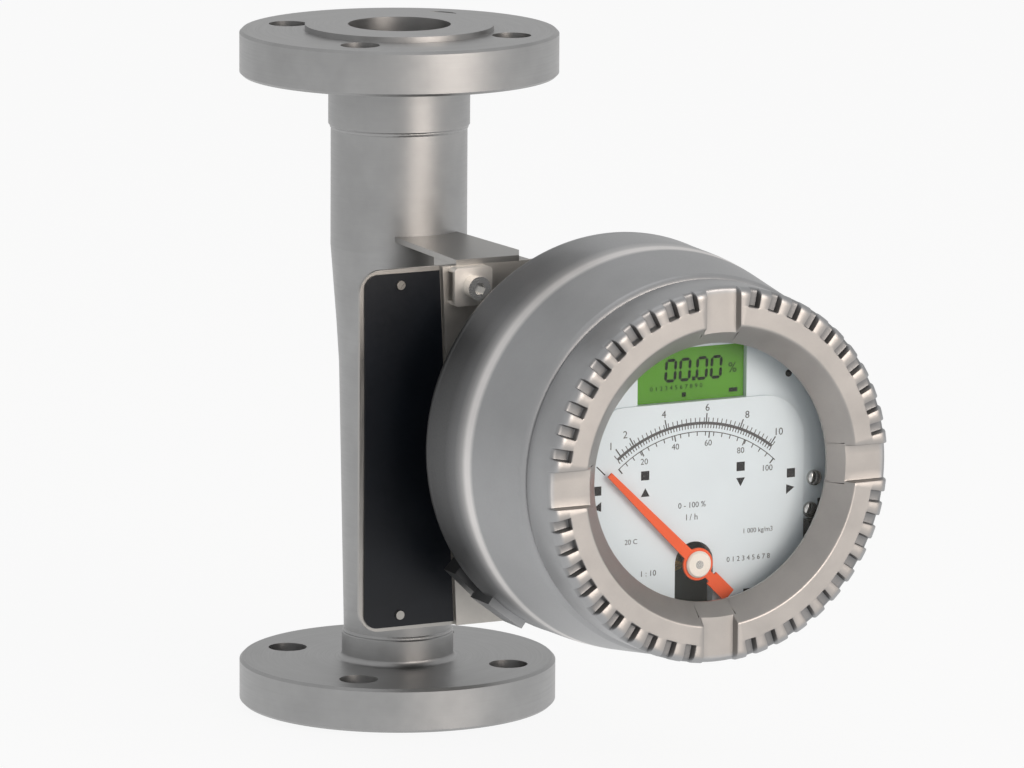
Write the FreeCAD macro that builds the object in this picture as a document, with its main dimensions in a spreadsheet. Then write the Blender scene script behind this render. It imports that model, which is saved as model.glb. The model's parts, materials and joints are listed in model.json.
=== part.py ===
import FreeCAD, Part
import Sketcher
import math
import os

# A metal-tube variable area flow meter (rotameter) for vertical pipe, DN 25, with
# flanged ends, a float on a guide rod and a round indicator housing on a bracket.
# Row frame: the origin is the centre of the lower sealing face, +Z runs up the
# pipe and the dial looks along -Y.

# Driving dimensions in millimetres and degrees: alias, value, meaning.
SIZES = [
    # flanges and pipe ends
    ("face_to_face", 250.0, "lower to upper sealing face"),
    ("flange_dia", 115.0, "outer diameter of both flanges"),
    ("flange_thick", 16.0, "thickness of a flange disc behind its raised face"),
    ("flange_bevel", 1.0, "bevel on the rims of the flange discs"),
    ("raised_dia", 68.0, "diameter of the raised sealing faces"),
    ("raised_height", 2.0, "height of the raised sealing faces"),
    ("bolt_circle", 85.0, "pitch circle of the flange bolts"),
    ("bolt_hole", 14.0, "diameter of the flange bolt holes"),
    ("bolt_count", 4.0, "bolt holes in each flange"),
    ("inlet_bore", 28.5, "bore of the lower flange"),
    ("outlet_bore", 37.0, "bore of the upper flange"),
    ("lower_hub_length", 10.0, "weld neck of the lower flange above its disc"),
    ("upper_hub_length", 18.5, "weld neck of the upper flange below its disc"),
    ("upper_hub_step", 0.9, "how far the upper neck stands out from the tube"),
    ("lower_hub_step", 0.7, "how far the lower neck stands out from the tube"),
    ("neck_round", 2.0, "inner round where a neck meets its disc"),
    ("weld_groove", 0.7, "depth and half width of the weld grooves"),
    # measuring tube
    ("tube_wall", 2.6, "wall of the measuring tube"),
    ("tube_low_dia", 39.2, "outer diameter where the metering cone starts"),
    ("tube_mid_dia", 43.0, "outer diameter where the metering cone ends"),
    ("swage_mid_dia", 44.9, "outer diameter at the start of the straight swage"),
    ("tube_top_dia", 49.3, "outer diameter of the wide upper stretch"),
    ("cone_end", 127.0, "height of the end of the metering cone"),
    ("swage_start", 142.0, "height where the swage runs straight"),
    ("swage_end", 170.0, "height where the tube is straight again"),
    # guides, rod and stop
    ("seat_depth", 11.0, "depth of the lower guide's seat below the neck's end"),
    ("guide_height", 8.0, "height of a guide's ring and vanes"),
    ("guide_ring_wall", 1.6, "wall of a guide's ring"),
    ("guide_hub_dia", 11.0, "diameter of a guide's hub"),
    ("guide_hub_proud", 2.0, "how far the lower hub stands above its vanes"),
    ("guide_slack", 0.05, "radial gap between a guide and its seat"),
    ("vane_thick", 2.0, "thickness of the guide vanes"),
    ("rod_dia", 6.0, "guide rod diameter"),
    ("rod_slack", 0.06, "radial running gap on the guide rod"),
    ("outlet_seat_depth", 22.0, "depth of the upper guide's seat"),
    ("seat_ledge", 1.2, "radial width of the upper guide's ledge"),
    ("ledge_height", 3.0, "height of the upper guide's ledge"),
    ("snap_ring_thick", 1.5, "thickness of the snap ring"),
    ("snap_groove_depth", 1.1, "radial depth of the snap ring's groove"),
    ("snap_ring_width", 2.2, "radial width of the snap ring"),
    ("snap_gap", 9.0, "opening of the snap ring"),
    ("stop_dia", 12.0, "diameter of the float's top stop"),
    ("stop_length", 8.0, "length of the float's top stop"),
    # float
    ("float_travel", 60.0, "travel of the float"),
    ("float_edge_dia", 33.2, "diameter of the float's metering edge"),
    ("float_cone_height", 15.0, "height of the float's lower cone"),
    ("float_nose_dia", 10.4, "diameter of the float's nose"),
    ("float_body_dia", 23.0, "diameter of the float's magnet chamber"),
    ("float_chamber_height", 34.0, "height of the magnet chamber's rim over the nose"),
    ("float_wall", 1.4, "wall of the magnet chamber"),
    ("float_magnet_height", 12.0, "height of the float's ring magnet"),
    ("float_cap_height", 6.0, "height of the float's cap over the chamber's rim"),
    ("stop_gap", 0.3, "gap between the float and each of its stops"),
    # bracket and plates
    ("sheet", 2.0, "sheet thickness of bracket and front plate"),
    ("plate_front", 75.0, "distance of the front plate's face from the pipe axis"),
    ("plate_low", 45.0, "height of the front plate's lower edge"),
    ("plate_high", 174.6, "height of the front plate's upper edge"),
    ("channel_left", 14.0, "left side of the bracket's channel at the front"),
    ("channel_right", 15.8, "right side of the bracket's channel at the front"),
    ("channel_side_depth", 17.0, "depth of the channel's sides"),
    ("shelf_left", 11.6, "left side of the shelves at the tube"),
    ("shelf_right", 12.9, "right side of the shelves at the tube"),
    ("shelf_rear", 12.0, "distance of the shelves' rear edge from the pipe axis"),
    ("shelf_corner", 5.0, "bevel on the shelves' front right corner"),
    ("plate_left_top", 19.3, "front plate's left edge at its top"),
    ("plate_left_low", 13.2, "front plate's left edge at its foot"),
    ("plate_right", 52.0, "front plate's right edge from the indicator axis"),
    ("plate_round", 8.0, "rounding of the front plate's free corners"),
    ("carrier_left", 50.6, "left edge of the name plate's carrier"),
    ("carrier_sheet", 1.5, "sheet thickness of the name plate's carrier"),
    ("label_left", 48.9, "left edge of the name plate"),
    ("label_margin", 1.4, "strip of bare metal above and below the name plate"),
    ("label_gap", 0.6, "gap between name plate and front plate"),
    ("label_thick", 0.8, "thickness of the name plate"),
    ("label_round", 5.0, "rounding of the name plate's left corners"),
    ("rivet_dia", 3.2, "head diameter of the name plate rivets"),
    ("rivet_x", 35.2, "distance of the rivets from the pipe axis"),
    ("rivet_inset", 4.2, "distance of the rivets from the name plate's ends"),
    ("pad_width", 14.8, "width of a clamp pad"),
    ("pad_height", 13.6, "height of a clamp pad"),
    ("pad_proud", 5.0, "how far a clamp pad stands off the front plate"),
    ("pad_wall", 1.6, "sheet thickness of a clamp pad"),
    ("pad_corner", 1.5, "corner rounding of a clamp pad"),
    ("pad_mouth", 10.4, "height of the open side of a clamp pad"),
    ("pad_x", 9.6, "distance of the upper clamp pad left of the pipe axis"),
    ("pad_inset", 7.0, "distance of the upper clamp pad below the plate's edge"),
    ("low_pad_x", 4.4, "distance of the lower clamp pad right of the pipe axis"),
    ("low_pad_inset", 17.0, "distance of the lower clamp pad above the plate's foot"),
    ("clamp_screw", 5.0, "thread diameter of the clamp screws"),
    ("neck_screw", 4.0, "thread diameter of the neck screws"),
    ("neck_screw_pitch", 48.0, "side of the square of neck screws"),
    ("screw_reach", 9.0, "depth of the neck's threaded holes"),
    ("hole_slack", 0.2, "radial gap of a screw in its clearance hole"),
    # indicator housing, distances in front of the pipe axis
    ("dial_x", 33.0, "indicator axis to the right of the pipe axis"),
    ("dial_z", 115.0, "height of the indicator axis"),
    ("neck_dia", 96.0, "diameter of the housing's neck"),
    ("neck_length", 13.0, "length of the housing's neck"),
    ("rear_wall", 8.0, "thickness of the housing's rear wall"),
    ("rear_inset", 3.7, "how far the housing's rear rim lies inside its front rim"),
    ("rear_round", 3.5, "rounding of the housing's rear rim"),
    ("belly_rise", 5.1, "how far the housing's largest ring lies outside its front rim"),
    ("belly_front", 106.0, "distance of the housing's largest ring"),
    ("belly_round", 5.0, "rounding of the housing's largest ring"),
    ("belly_bevel", 1.6, "how far the rear edge of the largest ring lies inside it"),
    ("shoulder_rear", 124.0, "distance where the housing's shoulder starts"),
    ("shoulder_front", 138.0, "distance where the housing's shoulder ends"),
    ("shoulder_rise", 4.7, "how far the shoulder's start lies outside the front rim"),
    ("shoulder_drop", 1.2, "how far the shoulder falls from its start to its end"),
    ("shoulder_round", 110.0, "rounding of the shoulder along the housing"),
    ("rim_wall", 5.4, "wall of the housing from its cavity to its front rim"),
    ("rim_round", 3.0, "rounding of the housing's front rim"),
    ("housing_front", 167.0, "distance of the housing's front face"),
    ("cavity_dia", 124.0, "diameter of the housing's cavity"),
    ("thread_ledge", 2.5, "radial step from the housing's cavity to the cover's thread"),
    ("thread_length", 14.0, "length of the cover's thread"),
    ("thread_slack", 0.1, "radial gap in the cover's thread"),
    ("face_gap", 0.3, "gap between housing and cover"),
    ("seal_inset", 3.1, "radial distance of the cover's seal from its thread"),
    ("seal_room", 0.1, "gap on each side of the cover's seal in its groove"),
    ("seal_squeeze", 0.2, "how far the seal's groove is shallower than the seal"),
    ("seal_section", 2.4, "section diameter of the cover seal"),
    ("lug_angle", 217.0, "place of the cast lug, clockwise from the top"),
    ("lug_width", 16.5, "width of the cast lug"),
    ("lug_proud", 2.5, "how far the lug stands out past the housing's largest ring"),
    ("lug_foot_step", 1.5, "how far the lug's foot ends short of the lug"),
    ("lug_root", 6.0, "how far the lug starts inside the housing's rear rim"),
    ("lug_front", 111.0, "distance of the lug's front face from the pipe axis"),
    ("lug_foot_width", 20.0, "width of the lug's foot"),
    ("lug_foot_front", 98.0, "distance of the foot's front face"),
    ("lug_foot_angle", 224.0, "place of the lug's foot, clockwise from the top"),
    ("lug_lift", 1.0, "how far the lug's foot starts ahead of the housing's rear face"),
    ("lug_wall", 1.5, "wall left between the lug's root and the cavity"),
    ("entry_front", 128.0, "distance of the cable entry's axis from the pipe axis"),
    ("entry_boss_dia", 27.0, "diameter of the cable entry's boss"),
    ("entry_proud", 4.8, "how far the boss stands out past the housing's largest ring"),
    ("entry_thread", 20.0, "thread diameter of the cable entry"),
    ("plug_flats", 24.0, "size across flats of the blanking plug"),
    ("plug_head", 6.0, "height of the blanking plug's head"),
    ("plug_seal", 1.5, "thickness of the plug's seal"),
    # cover
    ("cover_wall", 6.4, "how far the cover's rim lies outside its thread"),
    ("cover_front", 187.5, "distance of the cover's front face"),
    ("cover_round", 2.8, "rounding of the cover's front rim"),
    ("skirt_wall", 3.4, "wall of the cover's threaded skirt"),
    ("glass_step", 4.0, "radial step from the cover's bore to the window glass"),
    ("lip_width", 6.6, "radial width of the lip in front of the window glass"),
    ("cone_depth", 8.2, "depth of the cone round the window"),
    ("cone_width", 7.2, "radial width of the cone round the window"),
    ("lip_thick", 1.2, "thickness of the lip in front of the window"),
    ("window_thick", 5.0, "thickness of the window glass"),
    ("window_slack", 0.15, "radial gap round the window glass"),
    ("gasket_thick", 0.6, "thickness of the window gasket"),
    ("retainer_thick", 2.0, "thickness of the glass retainer"),
    ("retainer_width", 1.8, "radial width of the glass retainer"),
    ("cover_bevel", 1.0, "bevel on the cover's rear rim and thread"),
    ("slot_width", 12.7, "width of the wrench slots in the cover"),
    ("slot_depth", 3.0, "depth of the wrench slots and grip notches"),
    ("slot_inset", 2.8, "distance of the slots' inner ends from the window's edge"),
    ("notch_width", 3.7, "width of a grip notch"),
    ("notch_cut", 6.5, "radial length of a grip notch"),
    ("recess_round", 1.5, "rounding of the slots' and notches' outer ends"),
    ("notch_pitch", 7.5, "angle between two grip notches"),
    ("notches_in_quarter", 10.0, "grip notches between two wrench slots"),
    # dial and movement
    ("hub_drop", 34.0, "pointer axis below the indicator axis"),
    ("dial_front", 167.0, "distance of the dial's face from the pipe axis"),
    ("scale_thick", 1.0, "thickness of the scale plate"),
    ("scale_inset", 12.0, "how far the scale plate's sides lie inside the dial cover's rim"),
    ("scale_top", 22.8, "top edge of the scale plate over the axis"),
    ("scale_round", 16.0, "rounding of the scale plate's upper corners"),
    ("dial_gap", 1.0, "radial gap between dial cover and the cover's bore"),
    ("dial_cover_thick", 3.0, "thickness of the dial cover"),
    ("cutout_width", 14.9, "width of the cut-out round the pointer's hub"),
    ("display_width", 42.4, "width of the display"),
    ("display_height", 19.0, "height of the display"),
    ("display_shift", 0.8, "how far the display lies left of the indicator axis"),
    ("display_thick", 1.0, "thickness of the display glass"),
    ("display_sunk", 3.0, "how far the display lies behind the scale plate"),
    ("display_slack", 0.1, "gap round the display in the dial cover"),
    ("module_margin", 2.5, "how far the display module stands out round it"),
    ("module_head", 1.0, "how far the display module stands out above it"),
    ("module_round", 1.5, "corner rounding of the display module"),
    ("terminal_reach", 12.4, "how far the terminal block reaches in from the cover's bore"),
    ("terminal_top", 15.5, "drop of the terminal block's top below the axis"),
    ("terminal_low", 33.0, "drop of the terminal block's foot below the axis"),
    ("terminal_thick", 4.0, "thickness of the terminal block"),
    ("terminal_step", 5.6, "how much further out the terminal block's upper part starts"),
    ("terminal_waist", 22.3, "drop of the terminal block's step below the axis"),
    ("terminal_screw", 5.6, "head diameter of the terminal screws"),
    ("terminal_head", 2.2, "height of the terminal screws' heads"),
    ("terminal_thread", 3.0, "thread diameter of the terminal screws"),
    ("terminal_screw_inset", 8.6, "upper terminal screw inside the cover's bore"),
    ("terminal_screw_drop", 8.0, "drop of the upper terminal screw below the axis"),
    ("terminal_screw_shift", 1.4, "lower terminal screw left of the upper one"),
    ("terminal_screw_pitch", 11.2, "lower terminal screw below the upper one"),
    ("pointer_gap", 2.4, "gap between dial and pointer"),
    ("pointer_thick", 0.8, "thickness of the pointer"),
    ("pointer_length", 48.7, "pointer's tip from its axis"),
    ("pointer_root", 4.0, "width of the pointer at its ring"),
    ("pointer_tip", 2.0, "width of the pointer at its tip"),
    ("pointer_ring", 11.4, "diameter of the pointer's ring"),
    ("tail_length", 17.3, "end of the pointer's tail from its axis"),
    ("tail_start", 7.6, "start of the tail's block from the pointer's axis"),
    ("tail_stem", 3.0, "width of the stem between ring and tail block"),
    ("pointer_lap", 0.4, "how far arm and tail reach into the pointer's ring"),
    ("tail_width", 5.2, "width of the pointer's tail"),
    ("pointer_rest", 45.3, "angle of the pointer left of upright at rest"),
    ("pointer_sweep", 84.0, "swing of the pointer over the float's travel"),
    ("hub_dia", 9.4, "diameter of the pointer's hub"),
    ("shaft_dia", 3.0, "diameter of the pointer's shaft"),
    ("shaft_slack", 0.05, "radial running gap of the shaft"),
    ("can_dia", 22.0, "diameter of the follower can"),
    ("can_wall", 1.0, "wall of the follower can"),
    ("can_rear", 18.0, "distance of the can's closed end from the pipe axis"),
    ("can_flange_dia", 27.0, "diameter of the can's flange"),
    ("bearing_dia", 8.0, "outer diameter of the bearings"),
    ("bearing_length", 4.0, "length of the bearings"),
    ("follower_dia", 17.0, "diameter of the follower magnet"),
    ("follower_length", 8.0, "length of the follower magnet"),
    ("carrier_dia", 8.0, "diameter of the magnet's carrier"),
    ("chassis_front", 150.0, "distance of the chassis plate's face"),
    ("chassis_gap", 8.0, "radial gap between chassis plate and the housing's cavity"),
    ("chassis_thick", 2.5, "thickness of the chassis plate"),
    ("standoff_dia", 8.0, "diameter of the standoffs"),
    ("standoff_inset", 7.0, "standoffs and dial pillars inside the chassis plate's edge"),
    ("disc_dia", 32.0, "diameter of the damping disc"),
    ("disc_thick", 1.0, "thickness of the damping disc"),
    ("disc_behind", 12.0, "damping disc behind the chassis plate"),
    ("board_dia", 82.0, "diameter of the circuit board"),
    ("board_thick", 1.6, "thickness of the circuit board"),
    ("board_gap", 3.0, "gap between chassis plate and circuit board"),
    ("board_low", 18.0, "flat edge of the circuit board below the axis"),
    ("spacer_dia", 5.0, "diameter of the board's spacers"),
    ("spacer_half_x", 30.0, "half distance of the spacers across"),
    ("spacer_high", 20.0, "height of the upper spacers over the axis"),
    ("spacer_low", 12.0, "drop of the lower spacers below the axis"),
]

doc = FreeCAD.newDocument("Rotameter")
sheet = doc.addObject("Spreadsheet::Sheet", "Sizes")
for row, (alias, number, meaning) in enumerate(SIZES, start=1):
    sheet.set("A%d" % row, str(number))
    sheet.setAlias("A%d" % row, alias)
    sheet.set("B%d" % row, meaning)
doc.recompute()


class Size:
    """A length or angle with its value and the expression that gives it."""

    def __init__(self, value, text):
        self.value = float(value)
        self.text = text

    def __add__(self, other):
        other = size(other)
        return Size(self.value + other.value, "(%s + %s)" % (self.text, other.text))

    def __sub__(self, other):
        other = size(other)
        return Size(self.value - other.value, "(%s - %s)" % (self.text, other.text))

    def __mul__(self, other):
        other = size(other)
        return Size(self.value * other.value, "(%s * %s)" % (self.text, other.text))

    def __truediv__(self, other):
        other = size(other)
        return Size(self.value / other.value, "(%s / %s)" % (self.text, other.text))

    def __neg__(self):
        return Size(-self.value, "(0 - %s)" % self.text)

    def __radd__(self, other):
        return size(other) + self

    def __rsub__(self, other):
        return size(other) - self

    def __rmul__(self, other):
        return size(other) * self


def size(item):
    """A sheet cell by its alias, a plain number, or a Size as it is."""
    if isinstance(item, Size):
        return item
    if isinstance(item, str):
        return Size(sheet.get(item), "Sizes." + item)
    return Size(item, repr(float(item)))


def half(item):
    return size(item) / 2


def sine(angle):
    return Size(math.sin(math.radians(angle.value)), "sin(%s * 1 deg)" % angle.text)


def cosine(angle):
    return Size(math.cos(math.radians(angle.value)), "cos(%s * 1 deg)" % angle.text)


def root(item):
    return Size(math.sqrt(item.value), "sqrt(%s)" % item.text)


def bind(thing, name, item):
    """Sets a property and ties it to the sheet."""
    thing.setExpression(name, size(item).text)


# ---------------------------------------------------------------- sketches and features

nodes = []
UPRIGHT = FreeCAD.Rotation(FreeCAD.Vector(1, 0, 0), 90)


def place_on_dial(thing, across, up):
    """Turns local Z to the row's -Y and local Y upwards, so that local heights are
    distances in front of the pipe axis."""
    thing.Placement = FreeCAD.Placement(FreeCAD.Vector(0, 0, 0), UPRIGHT)
    bind(thing, "Placement.Base.x", across)
    bind(thing, "Placement.Base.z", up)


def new_body(label):
    """A body that stands in the row frame."""
    body = doc.addObject("PartDesign::Body", label)
    body.Label = label
    body.AllowCompound = True
    nodes.append(body)
    return body


def front_body(label, across=0, up=0):
    """A body that faces the dial's way, about an axis at across, up."""
    body = new_body(label)
    place_on_dial(body, across, up)
    return body


def dial_body(label):
    """A body about the indicator axis."""
    return front_body(label, "dial_x", "dial_z")


def hub_body(label):
    """A body about the pointer axis."""
    return front_body(label, "dial_x", size("dial_z") - "hub_drop")


def arc_centre(start, end, radius):
    """Centre of the short arc from start to end, left of the way for a radius above 0."""
    chord = end - start
    rise = math.sqrt(max(radius * radius - chord.Length ** 2 / 4, 0.0))
    left = FreeCAD.Vector(-chord.y, chord.x, 0).normalize()
    return (start + end) / 2 + left * math.copysign(rise, radius)


def draw_outline(sketch, points):
    """Closed outline. A point is (x, y), or (x, y, radius) where an arc leads to the
    next point, turning left for a radius above 0 and right below 0."""
    points = [[size(item) for item in point] for point in points]
    spots = [FreeCAD.Vector(point[0].value, point[1].value, 0) for point in points]
    first_index = sketch.GeometryCount
    ends = []
    for number, point in enumerate(points):
        start = spots[number]
        end = spots[(number + 1) % len(points)]
        if len(point) == 2:
            sketch.addGeometry(Part.LineSegment(start, end), False)
            ends.append((1, 2))
            continue
        radius = point[2].value
        centre = arc_centre(start, end, radius)
        angles = [math.atan2(spot.y - centre.y, spot.x - centre.x) for spot in (start, end)]
        if radius < 0:
            angles.reverse()
        circle = Part.Circle(centre, FreeCAD.Vector(0, 0, 1), abs(radius))
        sketch.addGeometry(Part.ArcOfCircle(circle, angles[0], angles[1]), False)
        ends.append((1, 2) if radius > 0 else (2, 1))
    rules = []
    ties = []
    for number, point in enumerate(points):
        piece = first_index + number
        following = (number + 1) % len(points)
        rules.append(Sketcher.Constraint("Coincident", piece, ends[number][1],
                                         first_index + following, ends[following][0]))
        ties.append(None)
        for kind, item in (("DistanceX", point[0]), ("DistanceY", point[1])):
            rules.append(Sketcher.Constraint(kind, -1, 1, piece, ends[number][0], item.value))
            ties.append(item)
        if len(point) == 3:
            bend = point[2] if point[2].value > 0 else -point[2]
            rules.append(Sketcher.Constraint("Radius", piece, bend.value))
            ties.append(bend)
    add_rules(sketch, rules, ties)


def draw_circle(sketch, across, up, diameter):
    across, up, radius = size(across), size(up), half(diameter)
    centre = FreeCAD.Vector(across.value, up.value, 0)
    piece = sketch.addGeometry(Part.Circle(centre, FreeCAD.Vector(0, 0, 1), radius.value), False)
    rules = [Sketcher.Constraint("DistanceX", -1, 1, piece, 3, across.value),
             Sketcher.Constraint("DistanceY", -1, 1, piece, 3, up.value),
             Sketcher.Constraint("Radius", piece, radius.value)]
    add_rules(sketch, rules, [across, up, radius])


def add_rules(sketch, rules, ties):
    """Adds constraints and ties each one that has a size to the sheet."""
    base = sketch.ConstraintCount
    sketch.addConstraint(rules)
    for number, item in enumerate(ties):
        if item is not None:
            sketch.setExpression("Constraints[%d]" % (base + number), item.text)


def new_sketch(body, shapes, role="XY_Plane", offset=0, turn=None):
    """Sketch of outlines and circles on a plane of the body, offset along its normal.
    A circle is given as (across, up, diameter) in a tuple, an outline as a list."""
    sketch = body.newObject("Sketcher::SketchObject", body.Name + "_sketch")
    plane = next(item for item in body.Origin.OriginFeatures if item.Role == role)
    sketch.AttachmentSupport = [(plane, "")]
    sketch.MapMode = "FlatFace"
    if turn is not None:
        sketch.AttachmentOffset = FreeCAD.Placement(
            FreeCAD.Vector(0, 0, 0), FreeCAD.Rotation(FreeCAD.Vector(0, 1, 0), 1))
        bind(sketch, "AttachmentOffset.Rotation.Angle", turn)
    bind(sketch, "AttachmentOffset.Base.z", offset)
    for shape in shapes:
        if isinstance(shape, tuple):
            draw_circle(sketch, *shape)
        else:
            draw_outline(sketch, shape)
    sketch.Visibility = False
    return sketch


def turned(body, points, groove=False):
    """Turns an outline of (radius, height) points about the body's Z axis."""
    sketch = new_sketch(body, [points], role="XZ_Plane")
    kind = "PartDesign::Groove" if groove else "PartDesign::Revolution"
    feature = body.newObject(kind, body.Name + ("_groove" if groove else "_turned"))
    feature.Profile = sketch
    feature.ReferenceAxis = (sketch, ["V_Axis"])
    feature.Angle = 360
    return feature


def pad(body, shapes, start, length, role="XY_Plane"):
    """Pads outlines along the plane's normal."""
    sketch = new_sketch(body, shapes, role=role, offset=start)
    feature = body.newObject("PartDesign::Pad", body.Name + "_pad")
    feature.Profile = sketch
    bind(feature, "Length", length)
    return feature


def cut(body, shapes, start, depth, role="XY_Plane", turn=None):
    """Cuts outlines against the plane's normal, and compares the volume."""
    doc.recompute()
    before = body.Shape.Volume
    sketch = new_sketch(body, shapes, role=role, offset=start, turn=turn)
    feature = body.newObject("PartDesign::Pocket", body.Name + "_cut")
    feature.Profile = sketch
    bind(feature, "Length", depth)
    doc.recompute()
    if not body.Shape.Volume < before:
        raise RuntimeError("a cut in %s removes nothing" % body.Label)
    return feature


def around(body, feature, count):
    """Repeats a feature evenly about the body's Z axis."""
    pattern = body.newObject("PartDesign::PolarPattern", body.Name + "_pattern")
    pattern.Originals = [feature]
    axis = next(item for item in body.Origin.OriginFeatures if item.Role == "Z_Axis")
    pattern.Axis = (axis, [""])
    pattern.Angle = 360
    bind(pattern, "Occurrences", count)
    body.Tip = pattern
    return pattern


def polar(angle, distance):
    """Point at an angle clockwise from the top, seen from the dial's front."""
    angle, distance = size(angle), size(distance)
    return distance * sine(angle), distance * cosine(angle)


def rectangle(left, low, right, high):
    return [(left, low), (right, low), (right, high), (left, high)]


def rounded(left, low, right, high, radius):
    """Rectangle with four rounded corners."""
    left, low, right, high, radius = [size(item) for item in (left, low, right, high, radius)]
    return [(left + radius, low), (right - radius, low, radius),
            (right, low + radius), (right, high - radius, radius),
            (right - radius, high), (left + radius, high, radius),
            (left, high - radius), (left, low + radius, radius)]


def hexagon(across, up, flats):
    """Hexagon with the given width across its flats, one flat on top."""
    reach = half(flats) / cosine(size(30))
    corners = []
    for corner in range(6):
        offset_x, offset_y = polar(size(30 + 60 * corner), reach)
        corners.append((size(across) - offset_x, size(up) + offset_y))
    return corners


# ---------------------------------------------------------------- heights and radii in use

TOP = size("face_to_face")
INLET = half("inlet_bore")
OUTLET = half("outlet_bore")
FLANGE = half("flange_dia")
RAISED = half("raised_dia")
LOWER_DISC_TOP = size("raised_height") + "flange_thick"
UPPER_DISC_FOOT = TOP - LOWER_DISC_TOP
TUBE_FOOT = LOWER_DISC_TOP + "lower_hub_length"
TUBE_HEAD = UPPER_DISC_FOOT - "upper_hub_length"
TUBE_LOW = half("tube_low_dia")
TUBE_TOP = half("tube_top_dia")
TUBE_LOW_BORE = TUBE_LOW - "tube_wall"
TUBE_TOP_BORE = TUBE_TOP - "tube_wall"
LOWER_SEAT = TUBE_FOOT - "seat_depth"
UPPER_SEAT = TOP - "outlet_seat_depth"
LEDGE_BORE = OUTLET - "seat_ledge"
SNAP_FOOT = UPPER_SEAT + "guide_height"
ROD = half("rod_dia")
ROD_BORE = ROD + "rod_slack"
LOWER_HUB_TOP = LOWER_SEAT + "guide_height" + "guide_hub_proud"
FLOAT_FOOT = LOWER_HUB_TOP + "stop_gap"
FLOAT_RIM = FLOAT_FOOT + "float_chamber_height"
FLOAT_TOP = FLOAT_RIM + "float_cap_height"
STOP_FOOT = FLOAT_TOP + "float_travel" + "stop_gap"
PLATE_REAR = size("plate_front") - "sheet"


# ---------------------------------------------------------------- pipe

def bolt_holes(body, top):
    """Four holes at 45 degrees to the dial's direction."""
    reach = half("bolt_circle")
    across, away = polar(size(45), reach)
    hole = cut(body, [(across, away, "bolt_hole")], top, "flange_thick")
    around(body, hole, "bolt_count")


def make_lower_flange():
    body = new_body("lower_flange")
    bevel, groove = size("flange_bevel"), size("weld_groove")
    neck = TUBE_LOW + "lower_hub_step"
    turned(body, [
        (INLET, 0), (RAISED, 0), (RAISED, "raised_height"), (FLANGE - bevel, "raised_height"),
        (FLANGE, bevel + "raised_height"), (FLANGE, LOWER_DISC_TOP - bevel),
        (FLANGE - bevel, LOWER_DISC_TOP),
        (neck + "neck_round", LOWER_DISC_TOP, -size("neck_round")),
        (neck, LOWER_DISC_TOP + "neck_round"), (neck, TUBE_FOOT - groove),
        (neck - groove, TUBE_FOOT), (TUBE_LOW_BORE, TUBE_FOOT), (TUBE_LOW_BORE, LOWER_SEAT),
        (INLET, LOWER_SEAT)])
    bolt_holes(body, LOWER_DISC_TOP)


def make_upper_flange():
    body = new_body("upper_flange")
    bevel, groove = size("flange_bevel"), size("weld_groove")
    face = TOP - "raised_height"
    neck = TUBE_TOP + "upper_hub_step"
    snap = OUTLET + "snap_groove_depth"
    turned(body, [
        (OUTLET, TOP), (OUTLET, SNAP_FOOT + "snap_ring_thick"),
        (snap, SNAP_FOOT + "snap_ring_thick"), (snap, SNAP_FOOT), (OUTLET, SNAP_FOOT),
        (OUTLET, UPPER_SEAT), (LEDGE_BORE, UPPER_SEAT), (LEDGE_BORE, UPPER_SEAT - "ledge_height"),
        (TUBE_TOP_BORE, UPPER_SEAT - "ledge_height" - TUBE_TOP_BORE + LEDGE_BORE),
        (TUBE_TOP_BORE, TUBE_HEAD), (neck - groove, TUBE_HEAD), (neck, TUBE_HEAD + groove),
        (neck, UPPER_DISC_FOOT - "neck_round", -size("neck_round")),
        (neck + "neck_round", UPPER_DISC_FOOT), (FLANGE - bevel, UPPER_DISC_FOOT),
        (FLANGE, UPPER_DISC_FOOT + bevel), (FLANGE, face - bevel), (FLANGE - bevel, face),
        (RAISED, face), (RAISED, TOP)])
    bolt_holes(body, face)


def make_measuring_tube():
    """Metering cone, swage and wide upper stretch, with one wall thickness."""
    body = new_body("measuring_tube")
    wall, groove = size("tube_wall"), size("weld_groove")
    steps = [(TUBE_LOW, TUBE_FOOT + groove), (half("tube_mid_dia"), size("cone_end")),
             (half("swage_mid_dia"), size("swage_start")), (TUBE_TOP, size("swage_end")),
             (TUBE_TOP, TUBE_HEAD - groove)]
    outer = [(TUBE_LOW - groove, TUBE_FOOT)] + steps + [(TUBE_TOP - groove, TUBE_HEAD)]
    inner = [(TUBE_LOW_BORE, TUBE_FOOT)]
    inner += [(radius - wall, height) for radius, height in steps[1:4]]
    inner.append((TUBE_TOP_BORE, TUBE_HEAD))
    turned(body, outer + inner[::-1])


def make_guide(label, seat, seat_radius, hub_top):
    """Ring, three vanes and a hub with the rod's seat."""
    body = new_body(label)
    ring = seat_radius - "guide_slack"
    ring_bore = ring - "guide_ring_wall"
    hub = half("guide_hub_dia")
    turned(body, [(ROD, seat), (hub, seat), (hub, hub_top), (ROD, hub_top)])
    middle = (hub + ROD) / 2
    side = half("vane_thick")
    vane = pad(body, [rectangle(-side, middle, side, ring - "guide_slack")], seat, "guide_height")
    around(body, vane, 3)
    sketch_ring = [(0, 0, ring * 2), (0, 0, ring_bore * 2)]
    pad(body, sketch_ring, seat, "guide_height")


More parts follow.
